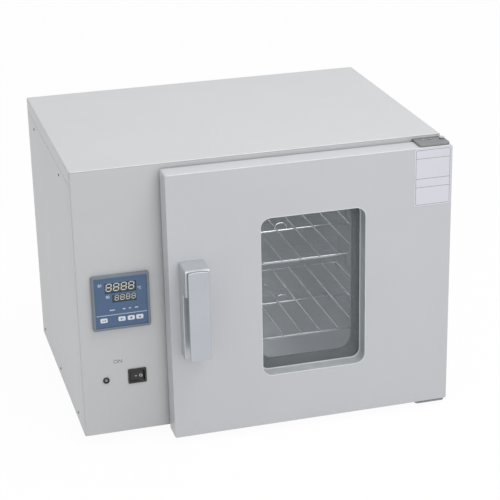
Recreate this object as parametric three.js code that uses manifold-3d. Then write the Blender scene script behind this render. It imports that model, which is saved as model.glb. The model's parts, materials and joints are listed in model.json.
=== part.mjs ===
// A bench-top drying oven: a painted sheet-metal cabinet with a control panel at the left,
// a stainless chamber with two wire shelves at the right, and a glazed door hung at its right
// edge. Millimetres, +Z up, +X to the right and +Y towards the back. Pieces are drawn in the
// cabinet's own axes, whose zero is the cabinet's left front bottom corner, and the group at
// the end brings the origin to the centre of the ground under the oven.
import * as THREE from 'three';
import { mergeVertices } from 'three/addons/utils/BufferGeometryUtils.js';
import Module from 'manifold-3d';

// Cabinet
const bodyWidth = 625;
const bodyDepth = 447;
const bodyHeight = 466;
const sheet = 1.2;
const bendRadius = 2.6;
const seat = 0.3;
const over = 2;
const arcSegments = 2;
const bezierPeakShare = 0.75;
const coverFlange = 24;
const seam = 0.9;
const frontReturn = 27;
const panelReturn = 14;
const hem = 12;
const compartmentWidth = 140;

// Chamber, as its usable room between the two air duct plates: its sides stand in from the
// door's edges, and its floor, roof and back wall in from the cabinet's faces
const chamberMargin = 73;
const chamberFloor = 63.5;
const chamberHeadroom = 77.5;
const chamberBackSpace = 114;
const ductWidth = 22;
const linerWall = 1;
const linerRadius = 10;
const linerFlange = 3;
const mouthRadius = 16;
const mouthLap = 27;
const mouthLip = 11;
const panelLap = 9;
const woolMargin = 28;

// Door
const doorThickness = 37.5;
const doorGap = 4.4;
const doorOverlap = 5.4;
const doorBottom = -5.9;
const doorTopDrop = 8.2;
const doorEdge = 1.2;
const doorCorner = 3.4;
const doorLip = 13;
const innerInset = 2.1;
const plugMargin = 10;
const plugDepth = 13.9;
const plugRadius = 18;

// Window, inset from the chamber's room
const windowMarginLeft = 82.1;
const windowMarginRight = 77.9;
const windowMarginTop = 21.5;
const windowMarginBottom = 22;
const windowRadius = 17;
const revealDepth = 24;
const glassThickness = 4;
const glassLap = 5;
const tunnelInset = 9;
const tunnelRadius = 22;
const frameLap = 8.5;

// Door gasket
const gasketInset = 4;
const gasketWidth = 10;
const gasketEdge = 1.6;

// Hinges
const hingeInset = 8;
const hingePinRadius = 3;
const hingeHeadRadius = 4.6;
const hingeHeadHeight = 2;
const hingeBore = 3.3;
const hingePlate = 3;
const hingeClearance = 0.6;
const hingeLeg = 30;
const hingePlateRadius = 5;
const hingePlateWidth = 53;
const hingeTopReach = 39;
const hingeBottomReach = 41;
const hingeLegWidth = 32;
const hingeBlockWidth = 24;
const hingeBlockHeight = 22;
const hingeCollar = 6.2;

// Handle and latch
const handleInset = 38;
const handleRise = 1.8;
const handleHeight = 165.5;
const handleWidth = 42;
const handleBase = 19.8;
const handleReach = 42;
const handleBlock = 48;
const handleEdge = 2;
const handleFillet = 6;
const handleNose = 5;
const gripWidth = 35;
const gripThickness = 5;
const gripGap = 3;
const gripTopDrop = 1.8;
const gripCrown = 2.4;
const gripCorner = 4;
const gripBottomRise = 9;
const gripEdge = 1.4;
const leverSlot = 16;
const leverRoof = 4;
const leverPinRadius = 2;
const leverPinDrop = 9;
const leverPinInset = 5;
const leverHub = 4.7;
const leverLug = 26;
const leverFit = 0.5;
const hookThickness = 6;
const hookHeight = 6;
const hookReach = 16;
const hookTooth = 6;
const hookToothRise = 1.5;
const slotSide = 2.4;
const slotDrop = 22;
const slotRise = 3;
const keeperBar = 3;
const keeperClearance = 0.5;
const keeperBarInset = 6;
const keeperDepth = 11;
const keeperCheek = 1.5;
const keeperFoot = 14;

// Temperature controller
const controllerSize = 96;
const controllerShift = 1.7;
const controllerCentreZ = 238.6;
const controllerProud = 7;
const controllerBorder = 4.5;
const controllerRadius = 3;
const controllerDepth = 78;
const cutoutSize = 92;
const faceRecess = 1.5;
const faceThickness = 3;
const displayThickness = 1;
const upperDisplayWidth = 52;
const upperDisplayHeight = 18;
const upperDisplayRise = 25.6;
const lowerDisplayWidth = 40;
const lowerDisplayHeight = 13.5;
const lowerDisplayRise = 6.5;
const lowerDisplayShift = 5.6;
const keyWidth = 12;
const keyHeight = 7.8;
const keyDrop = 30.2;
const keyProud = 0.8;
const keyDepth = 3;
const keyFit = 0.3;
const keyRadius = 1.5;
const keyPlaceShares = { key_set: -0.326, key_left: -0.001, key_down: 0.166, key_up: 0.322 };

// Lamp and power switch
const lampShift = -29.4;
const lampCentreZ = 98.2;
const lampRadius = 5.5;
const lampLensRadius = 3.5;
const lampProud = 2.4;
const lampBarrel = 4.6;
const lampEdge = 0.7;
const lampDepth = 22;
const switchShift = 23.2;
const switchCentreZ = 100;
const switchWidth = 31;
const switchHeight = 26.6;
const switchFlange = 2;
const switchBody = 27.6;
const switchBodyHeight = 22.4;
const switchDepth = 24;
const switchRadius = 2;
const rockerWidth = 21.4;
const rockerHeight = 17.6;
const rockerPivotInset = 4;
const rockerReach = 6.6;
const rockerFit = 1.4;
const rockerTilt = 8;
const rockerBack = 3;
const rockerAxle = 1.6;
const rockerAxleReach = 1.2;

// Shelves and their runners
const shelfSideGap = 4.5;
const shelfWire = 2.2;
const shelfRod = 1.5;
const shelfRodSink = 0.7;
const shelfRodPitch = 33;
const shelfRodProud = 2;
const shelfBend = 9;
const shelfBackGap = 10;
const shelfFront = 23;
const shelfMiddle = 145;
const upperShelfZ = 260.5;
const lowerShelfZ = 122;
const shelfLoopRise = 14;
const shelfLoopWidth = 24;
const shelfLoopShift = 8;
const runnerWidth = 10;
const runnerHeight = 14;
const runnerThickness = 1.5;
const runnerMargin = 16;

// Air ducts, fan and heater
const ductPlate = 1.2;
const ductFlange = 10;
const fanShift = 4;
const fanRadius = 46;
const fanDisc = 1.5;
const fanBladeDepth = 11;
const fanBladeCount = 12;
const fanBladeThickness = 1.4;
const fanInnerShare = 0.52;
const fanBowShare = 0.55;
const fanSweepDegrees = 35;
const fanHub = 9;
const fanShaft = 4;
const fanClearance = 3;
const inletHoleRadius = 5;
const inletRings = 2;
const inletPitch = 15;
const outletSlotWidth = 6;
const outletSlotHeight = 40;
const outletPitchY = 34;
const outletPitchZ = 78;
const outletRows = 3;
const outletColumns = 3;
const heaterRadius = 64;
const heaterTube = 3.6;
const heaterGapDegrees = 24;
const motorRadius = 34;
const motorLength = 52;
const motorBracketThickness = 2;
const motorBracketWidth = 60;
const motorBracketSpan = 100;
const motorStandoff = 34;
const motorEar = 14;
const probeRadius = 3;
const probeReach = 10;
const probeSetback = 78;
const probeDrop = 16.5;
const probeBack = 70;

// Back of the cabinet
const ventInset = 87.4;
const ventDrop = 58.5;
const ventRadius = 17;
const ventWall = 1.5;
const ventProud = 3;
const ventFace = 2;
const ventCollar = 24;
const ventHub = 4.5;
const ventPin = 2;
const ventCapRadius = 25;
const ventCapThickness = 3;
const ventCapRim = 4;
const ventCapPin = 6;
const ventGripWidth = 5;
const ventGripHeight = 6;
const ventHoleShare = 0.36;
const louvreWidth = 70;
const louvreHeight = 5;
const louvrePitch = 16;
const louvreCount = 9;
const louvreShift = 2;
const louvreFloor = 230;
const louvreHood = 4;
const glandZ = 70;
const glandBore = 5;
const glandBody = 9;
const glandNut = 13;
const glandProud = 16;
const glandInside = 12;

// Feet, base and relay
const footHeight = 18;
const footRadius = 17;
const footTaper = 3;
const footInsetX = 70;
const footInsetY = 60;
const footRecess = 5;
const footRecessRadius = 6;
const baseSlotLength = 60;
const baseSlotWidth = 4;
const baseSlotPitch = 12;
const baseSlotCount = 6;
const relayLength = 60;
const relayWidth = 46;
const relayHeight = 26;
const relayFin = 2.5;
const relayFinCount = 6;
const relayFinHeight = 22;
const relayBase = 4;
const relayY = 290;
const relayX = 32;

// Places worked out from the sizes above
const doorRight = bodyWidth + doorOverlap;
const doorLeft = compartmentWidth + doorGap;
const doorTop = bodyHeight - doorTopDrop;
const doorRear = -doorGap;
const doorFront = doorRear - doorThickness;
const chamberLeft = doorLeft + chamberMargin;
const chamberRight = doorRight - chamberMargin;
const chamberCentre = (chamberLeft + chamberRight) / 2;
const chamberTop = bodyHeight - chamberHeadroom;
const linerLeft = chamberLeft - ductWidth;
const linerRight = chamberRight + ductWidth;
const mouthFront = sheet + seat;
const linerFront = mouthFront + sheet + seat;
const linerBack = bodyDepth - chamberBackSpace;
const windowLeft = chamberLeft + windowMarginLeft;
const windowRight = chamberRight - windowMarginRight;
const windowFloor = chamberFloor + windowMarginBottom;
const windowTop = chamberTop - windowMarginTop;
const hingeX = doorRight - hingeInset;
const hingeY = doorRear - hingeInset;
const panelTop = bodyHeight - sheet - seat;
const sideTop = bodyHeight - coverFlange - seam;
const backFace = bodyDepth - sheet;
const controllerCentreX = compartmentWidth / 2 + controllerShift;
const lampCentreX = compartmentWidth / 2 + lampShift;
const switchCentreX = compartmentWidth / 2 + switchShift;
const louvreCentreX = compartmentWidth / 2 + louvreShift;
const glandX = louvreCentreX;
const shelfDepth = linerBack - shelfBackGap - shelfFront;
const fanCentreY = (linerFront + linerBack) / 2 + fanShift;
const fanCentreZ = (chamberFloor + chamberTop) / 2;
const probeY = fanCentreY + probeSetback;
const probeZ = chamberTop - probeDrop;
const ventX = chamberRight - ventInset;
const ventZ = chamberTop - ventDrop;

// Handle places, from the door's edges and front face and the handle's own top
const handleCentreX = doorLeft + handleInset;
const handleBottom = (doorBottom + doorTop - handleHeight) / 2 + handleRise;
const handleBack = doorFront - seat;
const handleTop = handleBottom + handleHeight;
const blockFront = handleBack - handleReach;
const gripBack = blockFront - gripGap;
const gripFront = gripBack - gripThickness;
const pinY = blockFront + leverPinInset;
const pinZ = handleTop - leverPinDrop;
const slotLeft = handleCentreX - hookThickness / 2 - slotSide;
const slotRight = handleCentreX + hookThickness / 2 + slotSide;
const slotFloor = pinZ - hookHeight - slotDrop;

const wasm = await Module();
wasm.setup();

// A closed three.js geometry as a solid that can be joined and cut.
function solid(geometry) {
  const bare = geometry.clone();
  bare.deleteAttribute('normal');
  bare.deleteAttribute('uv');
  const merged = mergeVertices(bare);
  return new wasm.Manifold(new wasm.Mesh({
    numProp: 3,
    vertProperties: Float32Array.from(merged.attributes.position.array),
    triVerts: Uint32Array.from(merged.index.array),
  }));
}

function join(...solids) {
  return solids.reduce((whole, piece) => whole.add(piece));
}

function cut(whole, ...tools) {
  return tools.reduce((rest, tool) => rest.subtract(tool), whole);
}

function box(x0, x1, y0, y1, z0, z1) {
  const geometry = new THREE.BoxGeometry(x1 - x0, y1 - y0, z1 - z0);
  return solid(geometry.translate((x0 + x1) / 2, (y0 + y1) / 2, (z0 + z1) / 2));
}

// An outline raised along one axis. Outlines for axis x are drawn in y and z, those for axis
// y in x and z, and those for axis z in x and y.
const axisFrames = {
  x: new THREE.Matrix4().makeBasis(
    new THREE.Vector3(0, 1, 0), new THREE.Vector3(0, 0, 1), new THREE.Vector3(1, 0, 0)),
  y: new THREE.Matrix4().makeBasis(
    new THREE.Vector3(1, 0, 0), new THREE.Vector3(0, 0, 1), new THREE.Vector3(0, -1, 0)),
  z: new THREE.Matrix4(),
};

function prism(axis, outline, from, to, edge = 0, edgeSteps = 2, arcSteps = arcSegments) {
  const geometry = new THREE.ExtrudeGeometry(outline, {
    depth: to - from - 2 * edge,
    bevelEnabled: edge > 0,
    bevelSize: edge,
    bevelOffset: -edge,
    bevelThickness: edge,
    bevelSegments: edgeSteps,
    curveSegments: arcSteps,
  });
  geometry.translate(0, 0, edge).applyMatrix4(axisFrames[axis]);
  const start = axis === 'y' ? to : from;
  const along = { x: [start, 0, 0], y: [0, start, 0], z: [0, 0, start] }[axis];
  return solid(geometry.translate(...along));
}

function roundedRect(x0, x1, y0, y1, radius, Kind = THREE.Shape) {
  const outline = new Kind();
  outline.moveTo(x0 + radius, y0);
  outline.lineTo(x1 - radius, y0);
  outline.absarc(x1 - radius, y0 + radius, radius, -Math.PI / 2, 0);
  outline.lineTo(x1, y1 - radius);
  outline.absarc(x1 - radius, y1 - radius, radius, 0, Math.PI / 2);
  outline.lineTo(x0 + radius, y1);
  outline.absarc(x0 + radius, y1 - radius, radius, Math.PI / 2, Math.PI);
  outline.lineTo(x0, y0 + radius);
  outline.absarc(x0 + radius, y0 + radius, radius, Math.PI, 1.5 * Math.PI);
  return outline;
}

function polygon(...points) {
  return new THREE.Shape(points.map(([x, y]) => new THREE.Vector2(x, y)));
}

// A round bar or disc along an axis, by its radii at both ends.
function bar(axis, centre, radius, from, to, sides = 16, endRadius = radius) {
  const geometry = new THREE.CylinderGeometry(endRadius, radius, to - from, sides);
  const middle = (from + to) / 2;
  if (axis === 'x') geometry.rotateZ(-Math.PI / 2).translate(middle, centre[0], centre[1]);
  if (axis === 'y') geometry.translate(centre[0], middle, centre[1]);
  if (axis === 'z') geometry.rotateX(Math.PI / 2).translate(centre[0], centre[1], middle);
  return solid(geometry);
}

// A turned piece: the profile's points are radius and place along the axis.
function turned(axis, centre, profile, sides = 16) {
  const points = profile.map(([radius, place]) => new THREE.Vector2(radius, place));
  const geometry = new THREE.LatheGeometry(points, sides);
  if (axis === 'x') geometry.rotateZ(-Math.PI / 2).translate(0, centre[0], centre[1]);
  if (axis === 'y') geometry.translate(centre[0], 0, centre[1]);
  if (axis === 'z') geometry.rotateX(Math.PI / 2).translate(centre[0], centre[1], 0);
  return solid(geometry);
}

// A wire of round section along a curve.
function wire(curve, radius, steps, sides = 8) {
  const section = new THREE.Shape();
  section.absarc(0, 0, radius, 0, 2 * Math.PI);
  const geometry = new THREE.ExtrudeGeometry(section, {
    steps,
    extrudePath: curve,
    curveSegments: sides / 2,
  });
  return solid(geometry);
}

// A quarter bend of wire, lying level, from one direction of travel to the next.
function quarterBend(cornerX, cornerY, z, bend, signX, signY, wireRadius) {
  const curve = new THREE.QuadraticBezierCurve3(
    new THREE.Vector3(cornerX + signX * bend, cornerY, z),
    new THREE.Vector3(cornerX, cornerY, z),
    new THREE.Vector3(cornerX, cornerY + signY * bend, z));
  return wire(curve, wireRadius, 4, 6);
}

// The room between two outlines with the same count of points, one at each end along y.
function loftAlongY(front, back, frontY, backY) {
  const near = front.getPoints(arcSegments);
  const far = back.getPoints(arcSegments);
  const count = near.length - (near[0].distanceTo(near[near.length - 1]) < seat ? 1 : 0);
  const positions = [];
  const corner = (ring, index, y) => [ring[index % count].x, y, ring[index % count].y];
  const centreOf = (ring, y) => {
    const sum = ring.slice(0, count).reduce((a, p) => [a[0] + p.x, a[1] + p.y], [0, 0]);
    return [sum[0] / count, y, sum[1] / count];
  };
  const nearCentre = centreOf(near, frontY);
  const farCentre = centreOf(far, backY);
  for (let i = 0; i < count; i += 1) {
    const a = corner(near, i, frontY);
    const b = corner(near, i + 1, frontY);
    const c = corner(far, i, backY);
    const d = corner(far, i + 1, backY);
    positions.push(...a, ...d, ...b, ...a, ...c, ...d);
    positions.push(...nearCentre, ...a, ...b, ...farCentre, ...d, ...c);
  }
  const geometry = new THREE.BufferGeometry();
  geometry.setAttribute('position', new THREE.Float32BufferAttribute(positions, 3));
  return solid(geometry);
}

// Finishes
const finish = (color, roughness, metalness, extra = {}) =>
  new THREE.MeshStandardMaterial({ color, roughness, metalness, ...extra });
const cabinetPaint = finish(0xd0d2d4, 0.45, 0.1);
const stainless = finish(0x9da2a5, 0.35, 0.9);
const chrome = finish(0xb4bbc4, 0.2, 1);
const steel = finish(0x96989a, 0.4, 0.8);
const blackPlastic = finish(0x262624, 0.4, 0);
const controllerGrey = finish(0x969ea4, 0.5, 0);
const controllerBlue = finish(0x50699a, 0.45, 0);
const keyPlastic = finish(0xd7e4fa, 0.4, 0);
const darkLens = finish(0x2a3430, 0.2, 0);
const rubber = finish(0x1d1d1d, 0.8, 0);
const silicone = finish(0xb8342c, 0.7, 0);
const wool = finish(0xd8cfae, 0.95, 0);
const glazing = finish(0xaab8b6, 0.05, 0, { transparent: true, opacity: 0.3 });
const darkFrame = finish(0x2c2c2a, 0.7, 0.2);
const lampGlass = finish(0x8a8d8c, 0.3, 0);

const oven = new THREE.Group();

function place(name, piece, material) {
  const made = piece.getMesh();
  const geometry = new THREE.BufferGeometry();
  const positions = new Float32Array(made.numVert * 3);
  for (let i = 0; i < made.numVert; i += 1) {
    for (let axis = 0; axis < 3; axis += 1) {
      positions[3 * i + axis] = made.vertProperties[made.numProp * i + axis];
    }
  }
  geometry.setAttribute('position', new THREE.BufferAttribute(positions, 3));
  geometry.setIndex(new THREE.BufferAttribute(Uint32Array.from(made.triVerts), 1));
  geometry.computeVertexNormals();
  const mesh = new THREE.Mesh(geometry, material);
  mesh.name = name;
  oven.add(mesh);
}

// Front panel: a plate with its two sides bent back, a hem at the top and the foot, the
// chamber's opening, and the holes for the controls and the latch.
function frontPanel() {
  const outside = polygon(
    [bendRadius, 0], [bodyWidth - bendRadius, 0], [bodyWidth - bendRadius / 3, bendRadius / 3],
    [bodyWidth, bendRadius], [bodyWidth, frontReturn], [0, frontReturn], [0, bendRadius],
    [bendRadius / 3, bendRadius / 3]);
  const inside = polygon(
    [bendRadius, sheet], [bodyWidth - bendRadius, sheet], [bodyWidth - sheet, bendRadius],
    [bodyWidth - sheet, frontReturn + over], [sheet, frontReturn + over], [sheet, bendRadius]);
  const whole = cut(
    prism('z', outside, 0, panelTop),
    prism('z', inside, sheet, panelTop - sheet),
    box(sheet + hem, bodyWidth - sheet - hem, hem, frontReturn + over, -over, panelTop + over));
  const margin = mouthLap - panelLap;
  const opening = roundedRect(
    chamberLeft - margin, chamberRight + margin,
    chamberFloor - margin, chamberTop + margin, mouthRadius + margin / 2);
  const half = cutoutSize / 2;
  return cut(whole,
    box(-over, bodyWidth + over, bendRadius + seat, frontReturn + over, sideTop, bodyHeight),
    prism('y', opening, -over, over),
    box(controllerCentreX - half, controllerCentreX + half, -over, over,
      controllerCentreZ - half, controllerCentreZ + half),
    bar('y', [lampCentreX, lampCentreZ], lampBarrel + seat, -over, over),
    box(switchCentreX - switchBody / 2 - seat, switchCentreX + switchBody / 2 + seat,
      -over, over, switchCentreZ - switchBodyHeight / 2 - seat,
      switchCentreZ + switchBodyHeight / 2 + seat),
    box(slotLeft, slotRight, -over, over, slotFloor, pinZ + 2 * keeperBar + slotRise));
}

// Top cover: a plate bent down at both sides, lying over the front and back panels.
function topCover() {
  const profile = polygon(
    [0, bodyHeight - coverFlange], [sheet, bodyHeight - coverFlange],
    [sheet, bodyHeight - bendRadius], [bendRadius, bodyHeight - sheet],
    [bodyWidth - bendRadius, bodyHeight - sheet], [bodyWidth - sheet, bodyHeight - bendRadius],
    [bodyWidth - sheet, bodyHeight - coverFlange], [bodyWidth, bodyHeight - coverFlange],
    [bodyWidth, bodyHeight - bendRadius], [bodyWidth - bendRadius / 3, bodyHeight - bendRadius / 3],
    [bodyWidth - bendRadius, bodyHeight], [bendRadius, bodyHeight],
    [bendRadius / 3, bodyHeight - bendRadius / 3], [0, bodyHeight - bendRadius]);
  return cut(prism('y', profile, 0, bodyDepth),
    box(-over, bodyWidth + over, -over, bendRadius + 2 * seat, bodyHeight - coverFlange - over,
      panelTop + seat));
}

// Side panel: a plate with its front and back edges bent inwards and a joggled strip at the
// top that the cover's flange laps over.
function sidePanel(mirrored) {
  const front = frontReturn + seam;
  const back = backFace - seat;
  const flip = (x) => (mirrored ? bodyWidth - x : x);
  const outline = [
    [0, front], [panelReturn, front], [panelReturn, front + sheet], [sheet, front + sheet],
    [sheet, back - sheet], [panelReturn, back - sheet], [panelReturn, back], [0, back]];
  const points = outline.map(([x, y]) => [flip(x), y]);
  const strip = box(
    Math.min(flip(sheet / 2), flip(2 * sheet + seat)), Math.max(flip(sheet / 2), flip(2 * sheet + seat)),
    front + sheet / 2, back - sheet / 2, sideTop - hem, sideTop - sheet);
  const tongue = box(
    Math.min(flip(sheet + seat), flip(2 * sheet + seat)),
    Math.max(flip(sheet + seat), flip(2 * sheet + seat)),
    front + hem, back - hem, sideTop - hem, panelTop - sheet - seat);
  return join(prism('z', polygon(...points), 0, sideTop), strip, tongue);
}

// Back panel: a plate with notches for the cover's flanges, pressed louvres for the control
// compartment, the vent's hole and the cable gland's.
function backPanel() {
  const notch = sheet + seat;
  const outline = polygon(
    [0, 0], [bodyWidth, 0], [bodyWidth, sideTop], [bodyWidth - notch, sideTop],
    [bodyWidth - notch, panelTop - bendRadius], [bodyWidth - notch - bendRadius, panelTop],
    [notch + bendRadius, panelTop], [notch, panelTop - bendRadius], [notch, sideTop],
    [0, sideTop]);
  let panel = prism('y', outline, backFace, bodyDepth);
  const left = louvreCentreX - louvreWidth / 2;
  const right = louvreCentreX + louvreWidth / 2;
  for (let i = 0; i < louvreCount; i += 1) {
    const z = louvreFloor + i * louvrePitch;
    const hood = polygon(
      [bodyDepth - sheet / 2, z + 2 * louvreHeight], [bodyDepth + louvreHood, z + louvreHeight],
      [bodyDepth + louvreHood, z], [bodyDepth + louvreHood - sheet, z],
      [bodyDepth + louvreHood - sheet, z + louvreHeight - sheet / 2],
      [bodyDepth - sheet / 2, z + 2 * louvreHeight - 2 * sheet]);
    panel = join(panel, prism('x', hood, left, right));
    panel = cut(panel,
      box(left + sheet, right - sheet, backFace - over, bodyDepth + sheet / 2,
        z, z + louvreHeight));
  }
  return cut(panel,
    bar('y', [ventX, ventZ], ventRadius + seat, backFace - over, bodyDepth + over),
    bar('y', [glandX, glandZ], glandBody + seat, backFace - over, bodyDepth + over));
}

// Base pan: a tray whose four edges turn up, with air slots under the control compartment.
function basePan() {
  const left = sheet + seat;
  const right = bodyWidth - sheet - seat;
  const front = frontReturn + 2 * sheet;
  const back = backFace - 2 * sheet - 2 * seat;
  let pan = cut(
    box(panelReturn + seat, bodyWidth - panelReturn - seat, hem + seat, backFace - seat, 0, hem),
    box(panelReturn + seat + sheet, bodyWidth - panelReturn - seat - sheet,
      hem + seat + sheet, backFace - seat - sheet, sheet, hem + over));
  pan = join(pan, box(left, right, front, back, 0, sheet));
  for (let i = 0; i < baseSlotCount; i += 1) {
    const y = bodyDepth / 3 + i * baseSlotPitch;
    pan = cut(pan, box(compartmentWidth / 2 - baseSlotLength / 2,
      compartmentWidth / 2 + baseSlotLength / 2, y, y + baseSlotWidth, -over, over));
  }
  return pan;
}

// Chamber liner: a stainless box with rounded long edges, open at the front, with a narrow
// flange that lies behind the mouth frame.
function chamberLiner() {
  const outline = (grow) => roundedRect(
    linerLeft - grow, linerRight + grow, chamberFloor - grow, chamberTop + grow,
    linerRadius + grow);
  const shell = join(
    prism('y', outline(linerWall), linerFront, linerBack + linerWall),
    prism('y', outline(linerWall + linerFlange), linerFront, linerFront + linerWall));
  const from = linerLeft - over - linerWall;
  const to = linerLeft + over;
  return cut(shell,
    prism('y', outline(0), linerFront - over, linerBack),
    bar('x', [fanCentreY, fanCentreZ], fanShaft + fanClearance, from, to),
    ...heaterEnds().map((centre) => bar('x', centre, heaterTube + seat, from, to, 12)),
    bar('x', [probeY, probeZ], probeRadius + seat, from, to, 12),
    bar('y', [ventX, ventZ], ventRadius - ventWall, linerBack - over, linerBack + over + linerWall));
}

// Mouth frame: the stainless ring round the chamber's opening, with a lip turned in past the
// air ducts. The door's gasket closes on it.
function mouthFrame() {
  const outline = (grow, radius) => roundedRect(
    chamberLeft - grow, chamberRight + grow, chamberFloor - grow, chamberTop + grow, radius);
  const plate = cut(
    prism('y', outline(mouthLap, mouthRadius + mouthLap / 2), mouthFront, mouthFront + sheet),
    prism('y', outline(0, mouthRadius), mouthFront - over, mouthFront + over));
  const lip = (grow, from) => roundedRect(
    chamberLeft - grow, chamberRight + grow, chamberFloor + from, chamberTop - from, mouthRadius);
  const collar = cut(
    prism('y', lip(0, 0), mouthFront, mouthFront + mouthLip),
    prism('y', lip(-sheet, sheet), mouthFront - over, mouthFront + mouthLip + over));
  return join(plate, cut(collar,
    box(chamberLeft - over, chamberRight + over, mouthFront + sheet, mouthFront + mouthLip + over,
      chamberFloor - over, chamberFloor + seat),
    box(chamberLeft - over, chamberRight + over, mouthFront + sheet, mouthFront + mouthLip + over,
      chamberTop - seat, chamberTop + over)));
}

// Air duct plates: the chamber's two side walls, bent back to the liner at both ends. The left
// one draws air in through a ring of holes before the fan, and both let it out by slots.
function ductPanel(side) {
  const face = side === 'left' ? chamberLeft : chamberRight;
  const away = side === 'left' ? -1 : 1;
  const front = linerFront + linerWall + mouthLip;
  const back = linerBack - seat;
  const outer = face + away * ductPlate;
  const points = [
    [face, front], [face, back], [outer + away * ductFlange, back],
    [outer + away * ductFlange, back - ductPlate], [outer, back - ductPlate],
    [outer, front + ductPlate], [outer + away * ductFlange, front + ductPlate],
    [outer + away * ductFlange, front]];
  let plate = prism('z', polygon(...points), chamberFloor + seat, chamberTop - seat);
  const low = Math.min(face, outer) - over;
  const high = Math.max(face, outer) + over;
  if (side === 'left') {
    plate = cut(plate, bar('x', [fanCentreY, fanCentreZ], inletHoleRadius, low, high, 6));
    for (let ring = 1; ring <= inletRings; ring += 1) {
      const count = 6 * ring;
      for (let i = 0; i < count; i += 1) {
        const angle = (2 * Math.PI * i) / count;
        const y = fanCentreY + ring * inletPitch * Math.cos(angle);
        const z = fanCentreZ + ring * inletPitch * Math.sin(angle);
        plate = cut(plate, bar('x', [y, z], inletHoleRadius, low, high, 6));
      }
    }
    plate = cut(plate, bar('x', [probeY, probeZ], probeRadius + seat, low, high, 12));
  }
  const inletReach = (inletRings + 1) * inletPitch;
  for (let column = 0; column < outletColumns; column += 1) {
    for (let row = 0; row < outletRows; row += 1) {
      [-1, 1].forEach((hand) => {
        const y = fanCentreY + hand * (inletReach + column * outletPitchY);
        const z = fanCentreZ + (row - (outletRows - 1) / 2) * outletPitchZ;
        plate = cut(plate, box(low, high, y - outletSlotWidth / 2, y + outletSlotWidth / 2,
          z - outletSlotHeight / 2, z + outletSlotHeight / 2));
      });
    }
  }
  return plate;
}

// Mineral wool round the liner, drawn as one block with the liner's room taken out.
function insulation() {
  const grow = linerWall + seat;
  const block = box(compartmentWidth, bodyWidth - panelReturn - 2 * seat, woolMargin + 2 * sheet,
    backFace - 2 * panelReturn, hem + seat, panelTop - hem);
  const rear = backFace - 2 * panelReturn + over;
  return cut(block,
    prism('y', roundedRect(linerLeft - grow, linerRight + grow, chamberFloor - grow,
      chamberTop + grow, linerRadius + grow), -over, linerBack + grow),
    bar('x', [fanCentreY, fanCentreZ], fanShaft + fanClearance, compartmentWidth - over, linerLeft),
    ...heaterEnds().map(([y, z]) =>
      bar('x', [y, z], heaterTube + seat, compartmentWidth - over, linerLeft, 12)),
    bar('x', [probeY, probeZ], probeRadius + seat, compartmentWidth - over, linerLeft, 12),
    bar('y', [ventX, ventZ], ventRadius + seat, linerBack, rear));
}

// Heating element: a ring of tube round the fan, whose two ends turn out through the wall.
function heaterEnds() {
  const half = THREE.MathUtils.degToRad(heaterGapDegrees / 2);
  return [-1, 1].map((hand) => [
    fanCentreY + heaterRadius * Math.cos(half),
    fanCentreZ + hand * heaterRadius * Math.sin(half)]);
}

function heater() {
  const x = (linerLeft + chamberLeft - ductPlate) / 2;
  const half = THREE.MathUtils.degToRad(heaterGapDegrees / 2);
  class Ring extends THREE.Curve {
    getPoint(t, target = new THREE.Vector3()) {
      const angle = half + t * (2 * Math.PI - 2 * half);
      return target.set(x, fanCentreY + heaterRadius * Math.cos(angle),
        fanCentreZ + heaterRadius * Math.sin(angle));
    }
  }
  const ends = heaterEnds().map(([y, z]) => join(
    bar('x', [y, z], heaterTube, compartmentWidth - ductWidth, x, 8),
    solid(new THREE.SphereGeometry(heaterTube, 8, 6).translate(x, y, z))));
  return join(wire(new Ring(), heaterTube, 20, 6), ...ends);
}

// Fan: a backward-swept wheel on the motor's long shaft.
function fan() {
  const disc = linerLeft + fanClearance;
  const blades = [];
  const sweep = THREE.MathUtils.degToRad(fanSweepDegrees);
  const inner = fanRadius * fanInnerShare;
  for (let i = 0; i < fanBladeCount; i += 1) {
    const turn = (2 * Math.PI * i) / fanBladeCount;
    const near = new THREE.Vector2(inner, 0).rotateAround(new THREE.Vector2(), turn);
    const far = new THREE.Vector2(fanRadius - fanDisc, 0)
      .rotateAround(new THREE.Vector2(), turn - sweep);
    const middle = near.clone().add(far).multiplyScalar(fanBowShare);
    const side = far.clone().sub(near).normalize().rotateAround(new THREE.Vector2(), Math.PI / 2)
      .multiplyScalar(fanBladeThickness / 2);
    const blade = new THREE.Shape([
      near.clone().add(side), middle.clone().add(side), far.clone().add(side),
      far.clone().sub(side), middle.clone().sub(side), near.clone().sub(side)]);
    blades.push(prism('x', blade, disc + fanDisc / 2, disc + fanDisc + fanBladeDepth)
      .translate([0, fanCentreY, fanCentreZ]));
  }
  const motorFace = compartmentWidth - motorStandoff - motorBracketThickness - seat;
  return join(
    bar('x', [fanCentreY, fanCentreZ], fanRadius, disc, disc + fanDisc, 24),
    bar('x', [fanCentreY, fanCentreZ], fanHub, disc, disc + fanDisc + fanBladeDepth / 2, 18),
    bar('x', [fanCentreY, fanCentreZ], fanShaft, motorFace - motorLength / 2, disc + fanDisc, 18),
    ...blades);
}

function fanMotor() {
  const face = compartmentWidth - motorStandoff - motorBracketThickness - seat;
  const back = face - motorLength;
  const rim = motorRadius - fanClearance;
  return cut(
    turned('x', [fanCentreY, fanCentreZ], [
      [0, back], [rim / 2, back], [rim, back + motorEar], [motorRadius, back + motorEar],
      [motorRadius, face - motorEar], [rim, face - motorEar], [rim / 2, face], [0, face]], 20),
    bar('x', [fanCentreY, fanCentreZ], fanShaft + seat, face - motorLength / 2 - seat, face + over, 18));
}

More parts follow.
